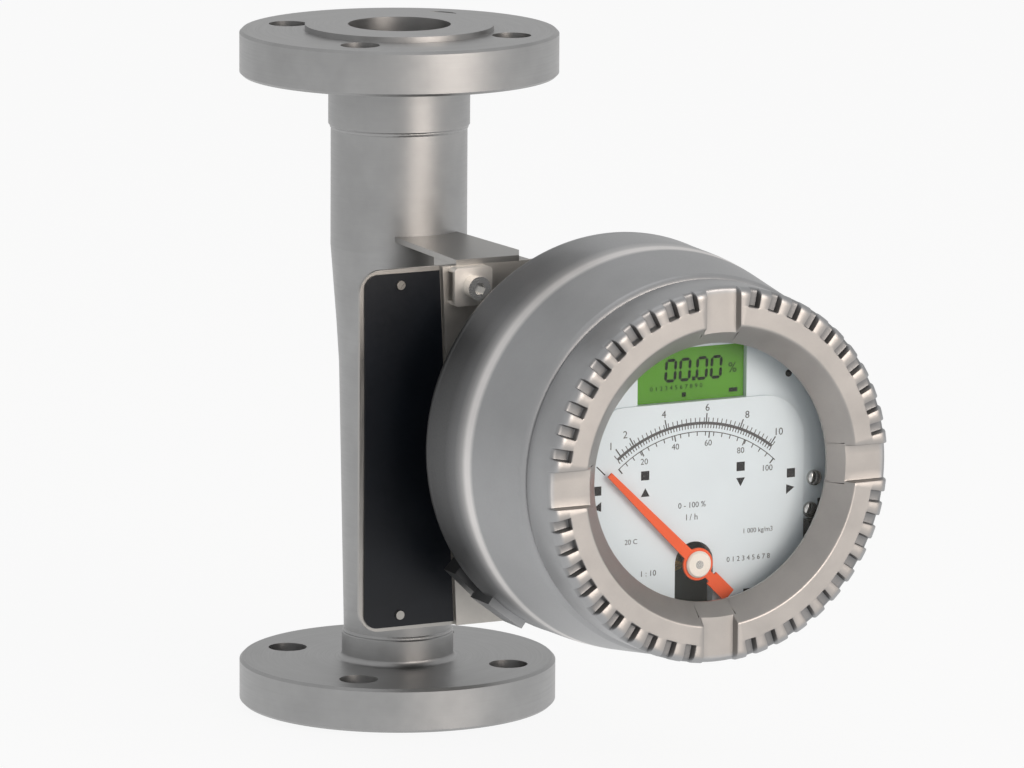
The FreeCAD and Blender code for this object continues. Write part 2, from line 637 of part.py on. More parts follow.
def make_guides():
    make_guide("lower_guide", LOWER_SEAT, TUBE_LOW_BORE, LOWER_HUB_TOP)
    make_guide("upper_guide", UPPER_SEAT, OUTLET, SNAP_FOOT)
    ring = new_body("retaining_ring")
    outer = OUTLET + "snap_groove_depth" - "guide_slack"
    inner = outer - "snap_ring_width"
    turned(ring, [(inner, SNAP_FOOT), (outer, SNAP_FOOT), (outer, SNAP_FOOT + "snap_ring_thick"),
                  (inner, SNAP_FOOT + "snap_ring_thick")])
    opening = half("snap_gap")
    cut(ring, [rectangle(-opening, 0, opening, outer * 2)], SNAP_FOOT + "snap_ring_thick",
        "snap_ring_thick")


def make_rod():
    rod = new_body("guide_rod")
    bevel = size(0.5)
    foot, head = LOWER_SEAT, SNAP_FOOT
    turned(rod, [(0, foot), (ROD - bevel, foot), (ROD, foot + bevel), (ROD, head - bevel),
                 (ROD - bevel, head), (0, head)])
    stop = new_body("float_stop")
    rim = half("stop_dia")
    turned(stop, [(ROD, STOP_FOOT), (rim - bevel, STOP_FOOT), (rim, STOP_FOOT + bevel),
                  (rim, STOP_FOOT + "stop_length" - bevel), (rim - bevel, STOP_FOOT + "stop_length"),
                  (ROD, STOP_FOOT + "stop_length")])


def make_float():
    """Float with a sharp metering edge, an open magnet chamber and its welded cap."""
    nose, edge, barrel = half("float_nose_dia"), half("float_edge_dia"), half("float_body_dia")
    wall = size("float_wall")
    cone_top = FLOAT_FOOT + "float_cone_height"
    shoulder = cone_top + 2.2
    chamber = barrel - wall
    sleeve = ROD_BORE + wall
    floor = FLOAT_RIM - "float_magnet_height" - 2.4
    body = new_body("float_body")
    turned(body, [
        (ROD_BORE, FLOAT_FOOT), (nose, FLOAT_FOOT), (edge - 0.6, cone_top), (edge, cone_top + 0.6),
        (edge, shoulder), (barrel, shoulder + 1.6), (barrel, FLOAT_RIM), (chamber, FLOAT_RIM),
        (chamber, floor), (sleeve, floor), (sleeve, FLOAT_RIM), (ROD_BORE, FLOAT_RIM)])
    magnet = new_body("float_magnet")
    magnet_top = floor + "float_magnet_height"
    slack = size("guide_slack")
    turned(magnet, [(sleeve + slack, floor), (chamber - slack, floor), (chamber - slack, magnet_top),
                    (sleeve + slack, magnet_top)])
    cap = new_body("float_cap")
    turned(cap, [
        (ROD_BORE, FLOAT_RIM), (sleeve + slack, FLOAT_RIM), (sleeve + slack, magnet_top),
        (chamber - slack, magnet_top), (chamber - slack, FLOAT_RIM), (barrel, FLOAT_RIM),
        (barrel, FLOAT_RIM + 1.2), (nose, FLOAT_TOP), (ROD_BORE, FLOAT_TOP)])


# ---------------------------------------------------------------- bracket and plates

def make_bracket():
    """Folded channel: a web behind the front plate, two short sides and two shelves
    whose rear edges are saddled to the tube."""
    body = front_body("tube_bracket")
    low, high = size("plate_low"), size("plate_high")
    sheet_thick = size("sheet")
    left, right = -size("channel_left"), size("channel_right")
    front = PLATE_REAR
    side_rear = front - "channel_side_depth"
    slope_left = (size("channel_left") - "shelf_left") / (front - "shelf_rear")
    slope_right = (size("channel_right") - "shelf_right") / (front - "shelf_rear")
    draw_in_left = slope_left * "channel_side_depth"
    draw_in_right = slope_right * "channel_side_depth"
    pad(body, [rectangle(left, low, right, high)], front - sheet_thick, sheet_thick)
    side_left = [(left, front), (left + draw_in_left, side_rear),
                 (left + draw_in_left + sheet_thick, side_rear), (left + sheet_thick, front)]
    side_right = [(right - sheet_thick, front), (right - sheet_thick - draw_in_right, side_rear),
                  (right - draw_in_right, side_rear), (right, front)]
    for outline in (side_left, side_right):
        pad(body, [outline], -high, high - low, role="XZ_Plane")
    corner = size("shelf_corner")
    shelf_low = [(left, front), (-size("shelf_left"), "shelf_rear"), ("shelf_right", "shelf_rear"),
                 (right, front)]
    shelf_high = [(left, "plate_front"), (-size("shelf_left"), "shelf_rear"),
                  ("shelf_right", "shelf_rear"), (right, size("plate_front") - corner * 2),
                  (right - corner, "plate_front")]
    pad(body, [shelf_low], -(low + sheet_thick), sheet_thick, role="XZ_Plane")
    pad(body, [shelf_high], -(high + sheet_thick), sheet_thick, role="XZ_Plane")
    cone_rise = (half("tube_mid_dia") - TUBE_LOW) / (size("cone_end") - TUBE_FOOT - "weld_groove")
    low_radius = TUBE_LOW + cone_rise * (low + sheet_thick - TUBE_FOOT) + "guide_slack"
    high_radius = TUBE_TOP + "guide_slack"
    for top, radius in ((high + sheet_thick, high_radius), (low + sheet_thick, low_radius)):
        saddle = body.newObject("PartDesign::Pocket", "tube_bracket_saddle")
        saddle.Profile = new_sketch(body, [(0, 0, radius * 2)], role="XZ_Plane", offset=-top)
        saddle.Reversed = True
        bind(saddle, "Length", sheet_thick)
    holes = [(across, up, size("clamp_screw")) for across, up in clamp_spots()]
    slack = size("hole_slack") * 2
    holes += [(across, up, size("neck_screw") + slack)
              for across, up in neck_screw_spots(size("dial_x"), size("dial_z"))[1:3]]
    cut(body, holes, front, sheet_thick)


def clamp_spots():
    """Centres of the two clamp pads on the front plate."""
    return [(-size("pad_x"), size("plate_high") - "pad_inset"),
            (size("low_pad_x"), size("plate_low") + "low_pad_inset")]


def neck_screw_spots(across, up):
    """Centres of the four neck screws about an axis at across, up."""
    reach = half("neck_screw_pitch")
    return [(across + reach, up + reach), (across - reach, up + reach),
            (across - reach, up - reach), (across + reach, up - reach)]


def make_plates():
    front = front_body("front_plate")
    low, high = size("plate_low"), size("plate_high")
    right = size("dial_x") + "plate_right"
    bend = size("plate_round")
    pad(front, [[(-size("plate_left_top"), high), (-size("plate_left_low"), low),
                 (right - bend, low, bend), (right, low + bend), (right, high - bend, bend),
                 (right - bend, high)]], PLATE_REAR, "sheet")
    slack = size("hole_slack") * 2
    holes = [(across, up, size("clamp_screw") + slack) for across, up in clamp_spots()]
    dial_x, dial_z = size("dial_x"), size("dial_z")
    holes += [(across, up, size("neck_screw") + slack)
              for across, up in neck_screw_spots(dial_x, dial_z)]
    holes.append((dial_x, dial_z - "hub_drop", size("can_dia") + slack))
    cut(front, holes, "plate_front", "sheet")

    carrier = front_body("plate_carrier")
    left = -size("carrier_left")
    pad(carrier, [[(left + bend, low), (-size("channel_left"), low), (-size("channel_left"), high),
                   (left + bend, high, bend), (left, high - bend), (left, low + bend, bend)]],
        PLATE_REAR - "carrier_sheet", "carrier_sheet")

    plate = front_body("name_plate")
    margin, gap, bend = size("label_margin"), size("label_gap"), size("label_round")
    left = -size("label_left")
    pad(plate, [[(left + bend, low + margin), (-(gap + "plate_left_low"), low + margin),
                 (-(gap + "plate_left_top"), high - margin), (left + bend, high - margin, bend),
                 (left, high - margin - bend), (left, low + margin + bend, bend)]],
        PLATE_REAR, "label_thick")

    rivets = front_body("name_plate_rivets")
    inset = margin + "rivet_inset"
    spots = [(-size("rivet_x"), high - inset, "rivet_dia"), (-size("rivet_x"), low + inset, "rivet_dia")]
    pad(rivets, [spots[0]], PLATE_REAR + "label_thick", "label_thick")
    pad(rivets, [spots[1]], PLATE_REAR + "label_thick", "label_thick")


def make_clamps():
    """Bridge pads, open on their left, and the socket screws through them."""
    pads = front_body("clamp_pads")
    screws = front_body("clamp_screws")
    half_width, half_height, mouth = half("pad_width"), half("pad_height"), half("pad_mouth")
    wall, foot = size("pad_wall"), size("plate_front")
    face = foot + "pad_proud"
    thread = size("clamp_screw")
    for across, up in clamp_spots():
        pad(pads, [rounded(across - half_width, up - half_height, across + half_width,
                           up + half_height, "pad_corner")], foot, "pad_proud")
    for across, up in clamp_spots():
        cut(pads, [rectangle(across - half_width - wall, up - mouth, across + half_width - wall,
                             up + mouth)], face - wall, size("pad_proud") - wall)
        cut(pads, [(across, up, thread + size("hole_slack") * 2)], face, wall)
    for across, up in clamp_spots():
        pad(screws, [(across, up, thread * 1.7)], face, thread)
    for across, up in clamp_spots():
        pad(screws, [(across, up, thread)], PLATE_REAR - "sheet", face - PLATE_REAR + "sheet")
    for across, up in clamp_spots():
        cut(screws, [hexagon(across, up, thread * 0.8)], face + thread, thread * 0.6)

    neck = dial_body("neck_screws")
    thread = size("neck_screw")
    seats = [PLATE_REAR, PLATE_REAR - "sheet", PLATE_REAR - "sheet", PLATE_REAR]
    for seat, (across, up) in zip(seats, neck_screw_spots(size(0), size(0))):
        pad(neck, [(across, up, thread * 1.7)], seat - thread, thread)
        pad(neck, [(across, up, thread)], seat, size("plate_front") + "screw_reach" - seat)
        cut(neck, [hexagon(across, up, thread * 0.75)], seat - thread * 0.4, thread * 0.6)


# ---------------------------------------------------------------- indicator housing

FACE = size("housing_front")
NECK_REAR = size("plate_front")
WALL_REAR = NECK_REAR + "neck_length"
CAVITY_FLOOR = WALL_REAR + "rear_wall"
CAVITY = half("cavity_dia")
THREAD = CAVITY - "thread_ledge"
RIM = CAVITY + "rim_wall"
BELLY = RIM + "belly_rise"
SHOULDER = RIM + "shoulder_rise"
REAR_RIM = RIM - "rear_inset"
SEAL = THREAD + "seal_inset"
COVER = THREAD + "cover_wall"
BORE = THREAD - "thread_slack" - "skirt_wall"
GLASS = BORE - "glass_step"
WINDOW_EDGE = GLASS - "lip_width"
DIAL = BORE - "dial_gap"
CHASSIS = CAVITY - "chassis_gap"
LUG_END = BELLY + "lug_proud"
ENTRY_FACE = BELLY + "entry_proud"
HUB_UP = -size("hub_drop")
CAN = half("can_dia")
CAN_FLOOR = size("can_rear") + "can_wall"
SHAFT = half("shaft_dia")
SHAFT_BORE = SHAFT + "shaft_slack"
CHASSIS_REAR = size("chassis_front") - "chassis_thick"


def make_housing():
    """Cast housing: neck, rear wall, rounded belly, slightly tapered barrel, threaded
    mouth with a seal groove, a lug at the lower left and a cable entry at the rear."""
    body = dial_body("housing_body")
    neck = half("neck_dia")
    rear_round, belly_round, rim_round = size("rear_round"), size("belly_round"), size("rim_round")
    belly_start = size("belly_front") - belly_round
    groove_out = SEAL + half("seal_section") + "seal_room"
    groove_in = SEAL - half("seal_section") - "seal_room"
    groove_floor = FACE - size("seal_section") + "seal_squeeze"
    step = size("thread_ledge")
    turned(body, [
        (0, NECK_REAR), (neck, NECK_REAR), (neck, WALL_REAR - 2, -size(2)), (neck + 2, WALL_REAR),
        (REAR_RIM - rear_round, WALL_REAR, rear_round), (REAR_RIM, WALL_REAR + rear_round),
        (BELLY - "belly_bevel", belly_start, belly_round), (BELLY, size("belly_front")),
        (SHOULDER, size("shoulder_rear"), size("shoulder_round")),
        (SHOULDER - "shoulder_drop", size("shoulder_front")),
        (RIM, FACE - rim_round, rim_round), (RIM - rim_round, FACE),
        (groove_out, FACE), (groove_out, groove_floor), (groove_in, groove_floor), (groove_in, FACE),
        (THREAD, FACE), (THREAD, FACE - "thread_length"),
        (CAVITY, FACE - "thread_length" - step), (CAVITY, CAVITY_FLOOR + 14),
        (CAVITY - 7, CAVITY_FLOOR), (0, CAVITY_FLOOR)])
    cast_block(body, "lug_foot_angle", "lug_foot_width", (REAR_RIM - "lug_root", LUG_END - "lug_foot_step"),
               WALL_REAR + "lug_lift", "lug_foot_front")
    cast_block(body, "lug_angle", "lug_width", (CAVITY + "lug_wall", LUG_END),
               size("lug_foot_front") - "lug_lift", "lug_front")
    slack = size("hole_slack")
    cut(body, [(0, HUB_UP, (CAN + slack) * 2)], CAVITY_FLOOR, size("neck_length") + "rear_wall")
    threads = [(across, up, "neck_screw") for across, up in neck_screw_spots(size(0), size(0))]
    cut(body, threads, NECK_REAR + "screw_reach", "screw_reach")
    place, reach = size("entry_front"), ENTRY_FACE
    boss_foot = CAVITY + 4
    pad(body, [(0, place, "entry_boss_dia")], boss_foot, reach - boss_foot, role="YZ_Plane")
    cut(body, [(0, place, "entry_thread")], reach, reach - CAVITY + 2, role="YZ_Plane")


def cast_block(body, angle, width, reach, rear, front):
    """Block that stands out of the housing in a radial direction, between two radii."""
    side = half(width)
    out_x, out_y = polar(angle, 1)
    corners = []
    for along, across in ((reach[0], -side), (reach[0], side), (reach[1], side), (reach[1], -side)):
        corners.append((out_x * along - out_y * across, out_y * along + out_x * across))
    pad(body, [corners], rear, size(front) - rear)


def make_follower_can():
    """Closed can that reaches back beside the tube, with its flange in the housing."""
    body = hub_body("follower_can")
    bore = CAN - "can_wall"
    flange = half("can_flange_dia")
    bend = size(2)
    rear = size("can_rear")
    turned(body, [
        (0, rear), (CAN - bend, rear, bend), (CAN, rear + bend), (CAN, CAVITY_FLOOR),
        (flange, CAVITY_FLOOR), (flange, CAVITY_FLOOR + 2), (bore, CAVITY_FLOOR + 2),
        (bore, CAN_FLOOR), (0, CAN_FLOOR)])
    bearing = half("bearing_dia")
    flange = bearing + 2
    rear_bearing = hub_body("rear_bearing")
    holder = bore - "guide_slack"
    turned(rear_bearing, [
        (SHAFT_BORE, CAN_FLOOR), (holder, CAN_FLOOR), (holder, CAN_FLOOR + 1.5),
        (bearing, CAN_FLOOR + 1.5), (bearing, CAN_FLOOR + "bearing_length"),
        (SHAFT_BORE, CAN_FLOOR + "bearing_length")])
    front_bearing = hub_body("front_bearing")
    front = size("chassis_front")
    seat = bearing - "guide_slack"
    turned(front_bearing, [
        (SHAFT_BORE, CHASSIS_REAR), (seat, CHASSIS_REAR), (seat, front), (flange, front),
        (flange, front + 1.5), (SHAFT_BORE, front + 1.5)])


def make_cable_plug():
    """Hexagon blanking plug and its seal in the cable entry on the housing's right."""
    plug = dial_body("cable_plug")
    seal = dial_body("plug_seal")
    place = size("entry_front")
    face = ENTRY_FACE
    head = face + "plug_seal"
    shank = size("entry_thread") - "hole_slack"
    shank_foot = CAVITY + 2
    pad(plug, [(0, place, shank)], shank_foot, head - shank_foot, role="YZ_Plane")
    pad(plug, [hexagon(size(0), place, size("plug_flats"))], head, "plug_head", role="YZ_Plane")
    pad(seal, [(0, place, size("plug_flats")), (0, place, size("entry_thread") + "hole_slack")],
        face, "plug_seal", role="YZ_Plane")


# ---------------------------------------------------------------- chassis and electronics

def circle_spots(angles):
    """Points of the standoffs and dial pillars at angles clockwise from the top."""
    return [polar(size(angle), CHASSIS - "standoff_inset") for angle in angles]


def make_chassis():
    body = dial_body("chassis_plate")
    pad(body, [(0, 0, CHASSIS * 2), (0, HUB_UP, "bearing_dia")], CHASSIS_REAR, "chassis_thick")
    standoffs = dial_body("standoffs")
    pad(standoffs, [(across, up, "standoff_dia") for across, up in circle_spots((0, 120, 240))],
        CAVITY_FLOOR, CHASSIS_REAR - CAVITY_FLOOR)
    pillars = dial_body("dial_pillars")
    dial_rear = size("dial_front") - "scale_thick" - "dial_cover_thick"
    pad(pillars, [(across, up, "spacer_dia") for across, up in circle_spots((45, 135, 225, 315))],
        "chassis_front", dial_rear - "chassis_front")


def spacer_spots():
    """Centres of the four circuit board spacers."""
    return [(size("spacer_half_x") * side, up) for side in (-1, 1)
            for up in (size("spacer_high"), -size("spacer_low"))]


def display_sides():
    """Left and right side of the display from the indicator axis."""
    return (-half("display_width") - "display_shift", half("display_width") - "display_shift")


def make_electronics():
    """Circuit board on its spacers, display module, display glass and terminal block."""
    board_rear = size("chassis_front") + "board_gap"
    board = dial_body("circuit_board")
    reach = half("board_dia")
    low = -size("board_low")
    chord = root(reach * reach - low * low)
    inner = reach * 0.7
    pad(board, [[(-chord, low), (chord, low, reach), (inner, root(reach * reach - inner * inner), reach),
                 (-inner, root(reach * reach - inner * inner), reach)]], board_rear, "board_thick")
    spacers = dial_body("board_spacers")
    pad(spacers, [(across, up, "spacer_dia") for across, up in spacer_spots()],
        "chassis_front", "board_gap")

    left, right = display_sides()
    low = size("scale_top")
    high = low + "display_height"
    glass_front = size("dial_front") - "display_sunk"
    glass = dial_body("display_glass")
    pad(glass, [rectangle(left, low, right, high)], glass_front - "display_thick", "display_thick")
    module = dial_body("display_module")
    margin = size("module_margin")
    module_front = size("dial_front") - "scale_thick" - "dial_cover_thick"
    board_front = board_rear + "board_thick"
    pad(module, [rounded(left - margin, low - margin, right + margin, high + "module_head",
                         "module_round")], board_front, module_front - board_front)


# ---------------------------------------------------------------- dial

def make_dial():
    """Moulded dial cover with the display's window, and the scale plate on its face.
    Both are cut out round the pointer's hub."""
    cover = dial_body("dial_cover")
    plate = dial_body("scale_plate")
    cover_front = size("dial_front") - "scale_thick"
    radius = DIAL
    side = half("cutout_width")
    slot_foot = -root(radius * radius - side * side)
    cutout = [(side, HUB_UP, side), (0, HUB_UP + side, side), (-side, HUB_UP),
              (-side, -radius - 1), (side, -radius - 1)]
    (left, right), low, slack = display_sides(), size("scale_top"), size("display_slack")
    window = rectangle(left - slack, low - slack, right + slack, low + "display_height" + slack)
    pad(cover, [(0, 0, radius * 2)], cover_front - "dial_cover_thick", "dial_cover_thick")
    cut(cover, [window], cover_front, "dial_cover_thick")
    cut(cover, [cutout], cover_front, "dial_cover_thick")
    holes = [(place, drop, "terminal_thread") for place, drop in terminal_spots()]
    cut(cover, holes, cover_front, "dial_cover_thick")
    reach, top, bend = radius - "scale_inset", size("scale_top"), size("scale_round")
    foot = root(radius * radius - reach * reach)
    pad(plate, [[(side, slot_foot, radius), (reach, -foot), (reach, top - bend, bend),
                 (reach - bend, top), (-reach + bend, top, bend), (-reach, top - bend),
                 (-reach, -foot, radius), (-side, slot_foot), (-side, HUB_UP, -side),
                 (0, HUB_UP + side, -side), (side, HUB_UP)]], cover_front, "scale_thick")


def terminal_spots():
    """Centres of the two terminal screws."""
    across, drop = BORE - "terminal_screw_inset", size("terminal_screw_drop")
    return [(across, -drop),
            (across - "terminal_screw_shift", -(drop + "terminal_screw_pitch"))]


def make_terminals():
    """Terminal block at the dial's right edge, and two domed screws beside it."""
    foot = size("dial_front") - "scale_thick"
    block = dial_body("terminal_block")
    left, top, low = BORE - "terminal_reach", -size("terminal_top"), -size("terminal_low")
    reach = root(left * left + low * low)
    step, waist = left + "terminal_step", -size("terminal_waist")
    pad(block, [[(left, low, reach), (root(reach * reach - top * top), top), (step, top),
                 (step, waist), (left, waist)]], foot, "terminal_thick")
    screws = dial_body("terminal_screws")
    shank = size("dial_cover_thick") + 1.5
    for across, up in terminal_spots():
        pad(screws, [(across, up, "terminal_screw")], foot, "terminal_head")
        pad(screws, [(across, up, "terminal_thread")], foot - shank, shank)


# ---------------------------------------------------------------- pointer and follower

def make_pointer():
    """Pointer blade, hub, shaft, follower magnet, its carrier and the damping disc,
    all on one axis. The blade is drawn at its rest angle."""
    blade_rear = size("dial_front") + "pointer_gap"
    blade_front = blade_rear + "pointer_thick"
    blade = hub_body("pointer_blade")
    rest = -size("pointer_rest")
    ring, inside = half("pointer_ring"), half("hub_dia")
    tip, root_width = half("pointer_tip"), half("pointer_root")
    lap = size("pointer_lap")
    arm = turned_outline(rest, [(-root_width, inside + lap), (root_width, inside + lap),
                                (tip, size("pointer_length")), (-tip, size("pointer_length"))])
    side, stem = half("tail_width"), half("tail_stem")
    end, start, foot = -size("tail_length"), -size("tail_start"), -(inside + lap)
    tail = turned_outline(rest, [(-side, end), (side, end), (side, start), (stem, start),
                                 (stem, foot), (-stem, foot), (-stem, start), (-side, start)])
    pad(blade, [(0, 0, ring * 2), (0, 0, inside * 2)], blade_rear, "pointer_thick")
    pad(blade, [arm], blade_rear, "pointer_thick")
    pad(blade, [tail], blade_rear, "pointer_thick")

    hub = hub_body("pointer_hub")
    hub_rear = size("dial_front") + 0.6
    hub_front = blade_front + 1.2
    turned(hub, [(SHAFT, hub_rear), (inside * 0.7, hub_rear), (inside * 0.7, blade_rear - 0.6),
                 (inside, blade_rear - 0.6), (inside, hub_front - 0.6), (inside - 0.6, hub_front),
                 (SHAFT, hub_front)])
    shaft = hub_body("pointer_shaft")
    shaft_foot = CAN_FLOOR + 0.4
    turned(shaft, [(0, shaft_foot), (SHAFT, shaft_foot), (SHAFT, hub_front), (0, hub_front)])

    carrier = hub_body("magnet_carrier")
    magnet_foot = CAN_FLOOR + "bearing_length" + 1.5
    magnet_top = magnet_foot + "follower_length"
    core = half("carrier_dia")
    turned(carrier, [(SHAFT, magnet_foot - 1), (core - 0.8, magnet_foot - 1), (core, magnet_foot),
                     (core, magnet_top), (core + 2.2, magnet_top), (core + 2.2, magnet_top + 1.6),
                     (SHAFT, magnet_top + 1.6)])
    magnet = hub_body("follower_magnet")
    turned(magnet, [(core, magnet_foot), (half("follower_dia"), magnet_foot),
                    (half("follower_dia"), magnet_top), (core, magnet_top)])

    disc = hub_body("damping_disc")
    disc_foot = CHASSIS_REAR - "disc_behind"
    turned(disc, [(SHAFT, disc_foot), (half("disc_dia"), disc_foot),
                  (half("disc_dia"), disc_foot + "disc_thick"), (core, disc_foot + "disc_thick"),
                  (core, disc_foot + 4), (SHAFT, disc_foot + 4)])


def turned_outline(angle, points):
    """Outline whose own upward direction is turned clockwise by angle."""
    out_x, out_y = polar(angle, 1)
    turned_points = []
    for across, along in points:
        across, along = size(across), size(along)
        turned_points.append((out_x * along + out_y * across, out_y * along - out_x * across))
    return turned_points


def make_brake_magnet():
    """Fixed magnet whose jaws reach over the damping disc's rim."""
    body = hub_body("brake_magnet")
    gap = size(1.2)
    disc_foot = CHASSIS_REAR - "disc_behind"
    disc_top = disc_foot + "disc_thick"
    near, far = half("disc_dia") - 6, half("disc_dia") + 5
    side = size(6)
    pad(body, [rectangle(near, -side, far, side)], disc_foot - gap - 3, CHASSIS_REAR - disc_foot + gap + 3)
    cut(body, [rectangle(near - 1, -side - 1, half("disc_dia") + gap, side + 1)],
        disc_top + gap, size("disc_thick") + gap * 2)


# ---------------------------------------------------------------- cover

def make_cover_ring():
    """Screwed cover ring. Its face has a cone round the window, four wrench slots and,
    in each quarter between them, a row of grip notches sunk to the same floor."""
    body = dial_body("cover_ring")
    rim, bore, edge = COVER, BORE, WINDOW_EDGE
    front, bend = size("cover_front"), size("cover_round")
    foot = FACE + "face_gap"
    glass_seat = front - "cone_depth" - "lip_thick"
    glass_rear = glass_seat - "gasket_thick" - "window_thick" - "retainer_thick"
    seat = GLASS + "window_slack"
    thread = THREAD - "thread_slack"
    cone_out, bevel = edge + "cone_width", size("cover_bevel")
    thread_foot = foot - "thread_length"
    turned(body, [
        (edge, glass_seat), (edge, glass_seat + "lip_thick"), (cone_out, front),
        (rim - bend, front, -bend), (rim, front - bend), (rim, foot + bevel), (rim - bevel, foot),
        (thread, foot), (thread, thread_foot + bevel), (thread - bevel, thread_foot),
        (bore, thread_foot), (bore, glass_rear), (seat, glass_rear), (seat, glass_seat)])
    around(body, recess(body, edge + "slot_inset", "slot_width", size(0)), 4)
    grip_notches(body)


def recess(body, inner, width, angle):
    """Radial recess in the cover's face from inner out past the rim, at an angle
    clockwise from the top, with a level floor that is rounded off at the rim."""
    above, beyond = size("cover_front") + "cover_bevel", COVER + "cover_bevel"
    floor, bend = size("cover_front") - "slot_depth", size("recess_round")
    outline = [(inner, above), (inner, floor), (COVER - bend, floor, -bend),
               (COVER, floor - bend), (beyond, floor - bend), (beyond, above)]
    pocket = body.newObject("PartDesign::Pocket", "recess")
    pocket.Profile = new_sketch(body, [outline], role="XZ_Plane", turn=angle - 90)
    pocket.SideType = "Symmetric"
    bind(pocket, "Length", width)
    return pocket


def grip_notches(body):
    """Row of notches, repeated in the four quarters. Half a pitch more is left beside
    the wrench slots than between two notches."""
    first = size("notch_pitch") * 1.5
    notch = recess(body, COVER - "notch_cut", "notch_width", first)
    axis = next(item for item in body.Origin.OriginFeatures if item.Role == "Z_Axis")
    row = doc.addObject("PartDesign::PolarPattern", "notch_row")
    row.Axis = (axis, [""])
    count = size("notches_in_quarter")
    bind(row, "Angle", size("notch_pitch") * (count - 1))
    bind(row, "Occurrences", count)
    quarters = doc.addObject("PartDesign::PolarPattern", "notch_quarters")
    quarters.Axis = (axis, [""])
    quarters.Angle = 360
    quarters.Occurrences = 4
    pattern = body.newObject("PartDesign::MultiTransform", "grip_notches")
    pattern.Originals = [notch]
    pattern.Transformations = [row, quarters]
    body.Tip = pattern


def make_window():
    """Window glass between its gasket and the retainer, and the cover's seal ring."""
    seat_front = size("cover_front") - "cone_depth" - "lip_thick"
    glass_radius = GLASS
    glass_front = seat_front - "gasket_thick"
    glass_rear = glass_front - "window_thick"
    retainer_rear = glass_rear - "retainer_thick"
    gasket = dial_body("window_gasket")
    turned(gasket, [(WINDOW_EDGE + 0.6, glass_front), (glass_radius, glass_front),
                    (glass_radius, seat_front), (WINDOW_EDGE + 0.6, seat_front)])
    glass = dial_body("window_glass")
    turned(glass, [(0, glass_rear), (glass_radius, glass_rear), (glass_radius, glass_front),
                   (0, glass_front)])
    retainer = dial_body("glass_retainer")
    turned(retainer, [(glass_radius - "retainer_width", retainer_rear), (glass_radius, retainer_rear),
                      (glass_radius, glass_rear), (glass_radius - "retainer_width", glass_rear)])
    keys = cut(retainer, [rectangle(-2, 0, 2, glass_radius * 1.1)], retainer_rear + 1.5, 1.5)
    around(retainer, keys, 4)

    seal = doc.addObject("Part::Torus", "cover_seal")
    seal.Label = "cover_seal"
    bind(seal, "Radius1", SEAL)
    bind(seal, "Radius2", half("seal_section"))
    seal.Placement = FreeCAD.Placement(FreeCAD.Vector(0, 0, 0), UPRIGHT)
    bind(seal, "Placement.Base.x", "dial_x")
    bind(seal, "Placement.Base.z", "dial_z")
    bind(seal, "Placement.Base.y", -(FACE - half("seal_section") + "seal_squeeze"))
    nodes.append(seal)


# ---------------------------------------------------------------- build, check and write

for make in (make_lower_flange, make_upper_flange, make_measuring_tube, make_guides, make_rod,
             make_float, make_bracket, make_plates, make_clamps, make_housing, make_follower_can,
             make_cable_plug, make_chassis, make_electronics, make_dial, make_terminals,
             make_pointer, make_brake_magnet, make_cover_ring, make_window):
    make()
doc.recompute()
for thing in doc.Objects:
    if "Invalid" in thing.State or "Error" in thing.State:
        raise RuntimeError("%s failed: %s" % (thing.Label, thing.State))

os.makedirs("parts", exist_ok=True)
for node in nodes:
    if node.Shape.isNull() or not node.Shape.isValid():
        raise RuntimeError("%s has no valid shape" % node.Label)
    node.Shape.exportStep("parts/%s.step" % node.Label)
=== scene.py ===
"""Looks of a metal tube flow meter with a round indicator: finishes, cover ring, dial print,
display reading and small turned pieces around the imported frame."""

import json
import math

import bpy
import numpy as np
from mathutils import Matrix, Vector


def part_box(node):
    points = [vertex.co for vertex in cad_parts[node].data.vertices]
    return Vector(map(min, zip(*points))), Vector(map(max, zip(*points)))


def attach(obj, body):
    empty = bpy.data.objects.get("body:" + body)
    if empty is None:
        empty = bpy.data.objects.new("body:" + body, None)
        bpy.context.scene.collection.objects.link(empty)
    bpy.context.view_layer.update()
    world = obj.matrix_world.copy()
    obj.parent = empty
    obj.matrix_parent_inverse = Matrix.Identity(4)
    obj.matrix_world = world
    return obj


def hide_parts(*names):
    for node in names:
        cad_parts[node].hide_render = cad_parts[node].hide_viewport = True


bl_info = {
    "name": "Flow Meter Dressing",
    "version": (1, 0, 0),
    "blender": (4, 5, 0),
    "location": "View3D > Sidebar > Flow Meter",
    "description": "Builds the visible surfaces, print and finishes of a flanged flow meter",
    "category": "Object",
}

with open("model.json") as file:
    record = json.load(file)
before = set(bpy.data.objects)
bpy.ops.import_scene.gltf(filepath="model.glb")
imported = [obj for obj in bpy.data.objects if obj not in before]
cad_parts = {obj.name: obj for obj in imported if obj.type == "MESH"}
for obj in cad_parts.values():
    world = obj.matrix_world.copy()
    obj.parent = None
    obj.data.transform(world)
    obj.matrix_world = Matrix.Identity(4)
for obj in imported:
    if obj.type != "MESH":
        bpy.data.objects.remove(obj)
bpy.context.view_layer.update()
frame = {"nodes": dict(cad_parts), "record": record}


def middle(node):
    """Middle of a node's box."""
    low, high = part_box(node)
    return (low + high) / 2


def face_of(node):
    """How far a node's front lies ahead of the pipe's axis."""
    return -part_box(node)[0].y


def back_of(node):
    """How far a node's rear lies ahead of the pipe's axis."""
    return -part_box(node)[1].y


DIAL_X = middle("window_glass").x
DIAL_Z = middle("window_glass").z
HUB_Z = middle("pointer_hub").z
HUB_DROP = HUB_Z - DIAL_Z
COVER_FACE = face_of("cover_ring")
PLATE_FACE = face_of("scale_plate")
DIAL_FACE = face_of("dial_cover")
DISPLAY_FACE = face_of("display_glass")
# thickness of printed lines and figures
INK = 0.00006


# ------------------------------------------------------------------ meshes

